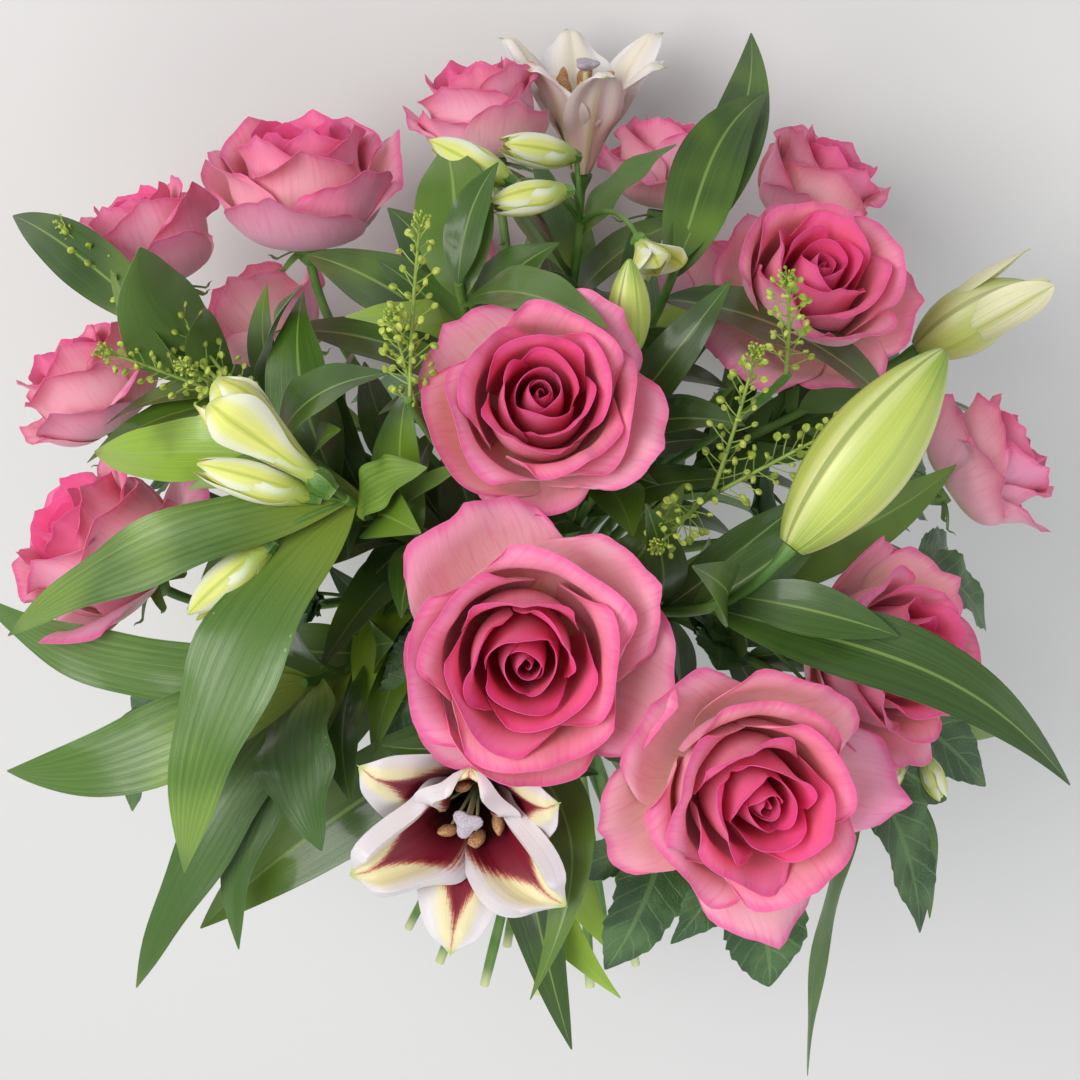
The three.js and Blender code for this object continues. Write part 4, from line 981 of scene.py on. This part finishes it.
bud_finish, p = new_finish("lily_bud_skin", {
    "Roughness": 0.36, "Subsurface Weight": 0.1, "Subsurface Scale": 0.004})
lines = p.growth.grain(2.0, (24.0, 0.7, 1.0))
rib = (p.across * (3 * math.pi)).sum("COSINE")
rib_line, seam = rib.within(0.93, 1.0), rib.within(-0.95, -1.0)
cream = p.height.within(0.1, 0.7).towards("#cdd27a", "#f0ecc8").painted(
    (abs(p.across).within(0.25, 0.0) * 0.7, "#b5c25a"))
p.height.within(0.0, 0.25).towards("#93aa4a", "#b9c95c").painted(
    (p.height.within(0.75, 1.0), "#86a63c"),
    (lines.within(0.4, 0.7) * 0.4, "#d2dc86"),
    (rib.within(-0.1, -0.9) * 0.6, "#dbe19a"),
    (rib_line * 0.35, "#8ba43f"),
    (seam * 0.65, "#6f8433"),
    (p.depth, cream)).into("Base Color")
(lines * 0.5 - rib_line - seam).raised(0.35, 0.0012)

for bud_name, _, tip, width, opening in LILY_BUDS:
    name = f"lily_bud_{bud_name}"
    rng = np.random.default_rng(BUD_SEED + width)
    _, end, facing = stems[name]
    foot = end + facing * SEAT_GAP
    length = np.linalg.norm(place(tip) - foot)
    t = np.linspace(0, 1, 40)
    reach = length * (0.86 if opening else 1)
    path = foot + facing * (reach * t)[:, None]
    swell = width / 2 * np.sin(math.pi * np.minimum(0.985, 0.06 + 0.925 * t ** 0.95)) ** 0.72
    parts = [tube(path, swell, 36, depth=0.3 if opening else 0.0, section=lambda s, a: (
        1 + (0.045 * np.cos(3 * a) + 0.03 * np.cos(6 * a)) * np.sin(math.pi * s) ** 0.5))]
    if opening:
        for i in range(3):
            u, v = sheet(25, 11)
            radius = bezier(u, 4, width * 0.62, width * 0.5, 8 + 4 * i)
            height = length * bezier(u, 0, 0.3, 0.8, 1)
            half = np.maximum(12 * hump(u, 0.03, 0.99, 1.05, 0.7), 0.3)
            angle = math.radians(120 * i) + v * half / np.maximum(radius, 5)
            radius = radius + 0.8 * np.sin(7 * u + i) * v ** 2
            part = shell(wound(radius, angle, height), 0.9, u, v, depth=0.8)
            parts.append(moved(part, turned(facing, 20), foot))
    show(f"{name}_skin", parts, [bud_finish], "lily_bud", name)
    parts = [stem(name, STEM_RADIUS, (2.2, 3.4), 0.3)] + leafy(name, 1, rng)
    show(f"{name}_stalk", parts, [stem_finish, gloss_finish], "lily_green", f"{name}_stem")


# ---- Alstroemeria
# Four thin stems with ribbed leaves in a tuft. Three of them bear flowers on arching stalks: pale
# yellow-green funnels of six petals, white at their edges, still closed or just opening.

ALSTROEMERIA_BUDS = {  # stem: base, tip, width, open
    "alstroemeria_left": [
        ((36, -44, 212), (36, -61, 254), 23, True), ((38, -46, 208), (42, -57, 242), 15, False),
        ((45, -46, 214), (55, -49, 226), 16, False)],
    "alstroemeria_lower": [],
    "alstroemeria_top": [
        ((6, -150, 243), (15, -136, 254), 14, False), ((14, 166, 240), (10, -158, 252), 14, False),
        ((5, 150, 240), (5, -100, 242), 13, False), ((10, 84, 234), (13, 71, 228), 16, True)],
    "alstroemeria_right": [
        ((76, 49, 208), (74, 40, 212), 12, False), ((80, 56, 204), (86, 56, 214), 10, False)],
}
FUNNEL_PETALS = 6
STANDING_OFF = (1, 4)  # which petals of an open flower do
THIN_STEM = 2.3
ALSTROEMERIA_SEED = 120

funnel_finish, p = new_finish("alstroemeria_petal", {
    "Roughness": 0.45, "Subsurface Weight": 0.15, "Subsurface Scale": 0.003})
lines = p.growth.grain(2.5, (16.0, 0.8, 1.0))
edge = abs(p.across) + (lines - 0.5) * 0.3
edge.within(0.25, 0.85).towards("#e2e27c", "#f4f3dc").painted(
    (edge.within(0.16, 0.02) * 0.7, "#a9b83c"),
    (p.height.within(0.5, 0.06), "#a4b54c"),
    (p.height.within(0.93, 1.0), "#c3ca72")).into("Base Color")
lines.raised(0.35, 0.0008)


def girth(u, opened):
    """A flower's share of its full width at shares of its length: a spindle when it is closed, and a
    thin foot that widens to a mouth when it has opened."""
    if opened:
        return (0.28 + 0.72 * ease(0, 0.85, u)) * (1 - 0.3 * ease(0.8, 1, u))
    return np.sin(math.pi * (0.1 + 0.8 * u)) ** 0.8


def funnel(base, tip, width, opened, rng):
    """One alstroemeria flower: six petals laid round one another by its girth, the inner three shorter,
    and two of them standing off once it has opened. A core fills it, and a ribbed ovary is its foot."""
    axes, length = turned(tip - base, rng.uniform(0, 60)), np.linalg.norm(tip - base)
    parts = []
    for i in range(FUNNEL_PETALS):
        outer = i % 2
        u, v = sheet(21, 9)
        radius = width / 2 * girth(u, opened) * (1 + 0.05 * outer) + 0.4 * v
        if opened and i in STANDING_OFF:
            radius = radius + 8 * u ** 3
        half = np.maximum(0.34 * width * hump(u, 0.04, 0.985, 1.5, 0.55) + 0.6, 0.5)
        angle = v * half / np.maximum(width * 0.36 * ease(0, 0.4, u), 1.6)
        angle = angle + i * 2 * math.pi / FUNNEL_PETALS
        height = length * u * (0.93 + 0.07 * outer) * (1 - 0.03 * v ** 2)
        part = shell(wound(radius, angle, height), 0.5, u, v, tone=rng.uniform(0, 1), coat=2)
        parts.append(moved(part, axes, base))
    t = np.linspace(0, 1, 14)
    core = base + (tip - base) * (0.8 * t)[:, None]
    parts.append(tube(core, width * 0.4 * girth(0.8 * t, opened) * (1 - 0.5 * t ** 6), 12, coat=2))
    ovary = base + (tip - base) * (0.24 * t - 0.1)[:, None]
    parts.append(tube(ovary, width * 0.19 * hump(t, 0.12, 0.88, blunt=0.5) + 0.7, 12, 0.7,
                      section=lambda s, a: 1 + 0.1 * np.cos(6 * a)))
    return parts


for name, buds in ALSTROEMERIA_BUDS.items():
    rng = np.random.default_rng(ALSTROEMERIA_SEED + len(name))
    parts = [stem(name, THIN_STEM, tone=0.6)]
    top = along(name, 0.985)
    for base, tip, width, opened in buds:
        start, end = place(base), place(tip)
        middle = (top + start) / 2 + unit(top + start) * 0.3 * np.linalg.norm(start - top)
        t = np.linspace(0, 1, 18)[:, None]
        behind = start - unit(end - start) * 0.05 * np.linalg.norm(end - start)
        path = bezier(t, top, middle, behind)
        parts.append(tube(path, 1.2 - 0.1 * t[:, 0], 8, 0.8))
        parts += funnel(start, end, width, opened, rng)
    leaves = leafy(name, 2, rng)
    for part in leaves:
        part["coat"] = 3 if part["coat"] == 2 else 1
    show(f"{name}_spray", parts + leaves, [stem_finish, gloss_finish, funnel_finish, ribbed_finish],
         "alstroemeria_green", name)


# ---- Pennycress
# Four wiry stems that end in upright spikes of small round flat pods, each on its own thin stalk. Tiny
# unopened flowers crowd together at the tips.

PENNYCRESS_ARMS = {  # stem: where each spike leaves it and where it ends
    "pennycress_centre": [(1, (12, -60, 260)), (0.95, (20, -42, 249))],
    "pennycress_right": [(1, (26, 52, 244)), (0.97, (37, 58, 240)), (0.95, (38, 20, 214))],
    "pennycress_high": [(1, (24, 62, 266))],
    "pennycress_left": [
        (1, (48, -105, 296)), (0.95, (41, -97, 258)), (0.93, (45, -84, 262)), (0.9, (38, -74, 246))],
}
PODS = 32
TIP_FLOWERS = 26
POD_TURN = 137.5
WIRY_STEM = 2.0
PENNYCRESS_SEED = 150

pod_finish, p = new_finish("pennycress_pod", {"Roughness": 0.55})
p.tone.towards("#93a832", "#c9d663").painted(
    (p.where.grain(300.0).within(0.4, 0.7) * 0.5, "#6f8a2c"),
    (p.depth, "#8fa84a")).into("Base Color")


def spike(base, tip, rng):
    """One spike: its axis bows a little outwards, and pods stand off it by the golden angle, on stalks
    that shorten towards the tip, where small round flowers crowd together."""
    t = np.linspace(0, 1, 16)[:, None]
    length = np.linalg.norm(tip - base)
    middle = (base + tip) / 2 + unit(base) * 0.08 * length
    path = bezier(t, base, middle, tip)
    parts = [tube(path, 1.0 - 0.45 * t[:, 0], 6, 0.4, depth=1.0)]
    for i in range(PODS + TIP_FLOWERS):
        open_yet = i < PODS
        share = 0.1 + 0.8 * i / PODS if open_yet else 0.9 + 0.1 * (i - PODS) / TIP_FLOWERS
        root = bezier(share, base, middle, tip)
        ahead = unit(bezier(share, middle - base, tip - middle))
        axes = turned(ahead, i * POD_TURN)
        stalk = (9.5 * (1 - share) ** 0.3 if open_yet else 3.2) * rng.uniform(0.8, 1.2)
        size = (1.75 if open_yet else 0.75) * rng.uniform(0.75, 1.1)
        lean = unit(axes @ np.array([1.0, 0, 0.35 + 0.5 * share]))
        s = np.linspace(0, 1, 4)[:, None]
        wire = root + lean * stalk * s + ahead * 0.15 * stalk * s ** 2
        parts.append(tube(wire, 0.3, 3, depth=1.0))
        disc = np.linspace(-1, 1, 5)[:, None]
        way = unit(lean + 0.5 * rng.normal(0, 1, 3))
        pod = wire[-1] + way * (size * (1 + disc))
        parts.append(tube(pod, size * np.sqrt(np.maximum(1 - (0.94 * disc[:, 0]) ** 2, 0.01)), 8,
                          rng.uniform(0, 1), section=lambda s, a: 0.4 + 0.6 * np.abs(np.cos(a))))
    return parts


for name, arms in PENNYCRESS_ARMS.items():
    rng = np.random.default_rng(PENNYCRESS_SEED + len(name))
    parts = [stem(name, WIRY_STEM, tone=0.7, coat=1)]
    for at, tip in arms:
        parts += spike(along(name, at - 0.01), place(tip), rng)
    show(f"{name}_spikes", parts, [pod_finish, stem_finish], "pennycress_green", name)


# ---- Foliage
# Six stems of glossy pointed leaves, at the places in HEADS that are named for foliage. They fill the
# head between the flowers and frame it.

FOLIAGE_SEED = 180

for name in HEADS:
    if name.startswith("foliage"):
        rng = np.random.default_rng(FOLIAGE_SEED + len(name))
        parts = [stem(name, THIN_STEM, tone=0.2)] + leafy(name, 1, rng)
        show(f"{name}_sprig", parts, [stem_finish, gloss_finish], "foliage_green", name)


# ---- Twine binding
# Natural three-strand twine is wound round all the stems several times at the tie and knotted in front,
# with two short ends.

TIE_RADIUS = 21.5
TIE_HEIGHT = 15
TWINE_RADIUS = 1.45
TWINE_TURNS = 5

twine_finish, p = new_finish("natural_twine", {"Roughness": 0.9})
hairs = p.where.grain(700.0, detail=3.0)
hairs.within(0.3, 0.7).towards("#8d6f45", "#c7aa78").into("Base Color")
hairs.raised(0.6, 0.0006)


def twine(path, twists):
    """Three-strand twine along a path: a round tube whose section has three lobes that turn with it."""
    return tube(path, TWINE_RADIUS, 12,
                section=lambda s, a: 1 + 0.17 * np.cos(3 * (a - twists * 2 * math.pi * s)))


t = np.linspace(0, 1, 60 * TWINE_TURNS)
angle = t * TWINE_TURNS * 2 * math.pi - math.pi / 2
coil = wound(TIE_RADIUS, angle, (t - 0.5) * (TIE_HEIGHT - 2 * TWINE_RADIUS))
parts = [twine(coil, 70)]
front = np.array([0, -TIE_RADIUS - 2.6, 0])
s = np.linspace(0, 1, 60)[:, None]
loop = front + np.concatenate([3.4 * np.cos(4 * math.pi * s), 1.4 * np.sin(6 * math.pi * s),
                               3.0 * np.sin(4 * math.pi * s + 0.6)], 1)
parts.append(twine(loop, 8))
for way in (-1, 1):
    end = front + np.concatenate([way * 9 * s, -6 * np.sin(1.3 * s), -23 * s ** 1.3], 1)
    parts.append(twine(end, 5))
show("twine_binding_turns", parts, [twine_finish], "twine", "twine_binding")
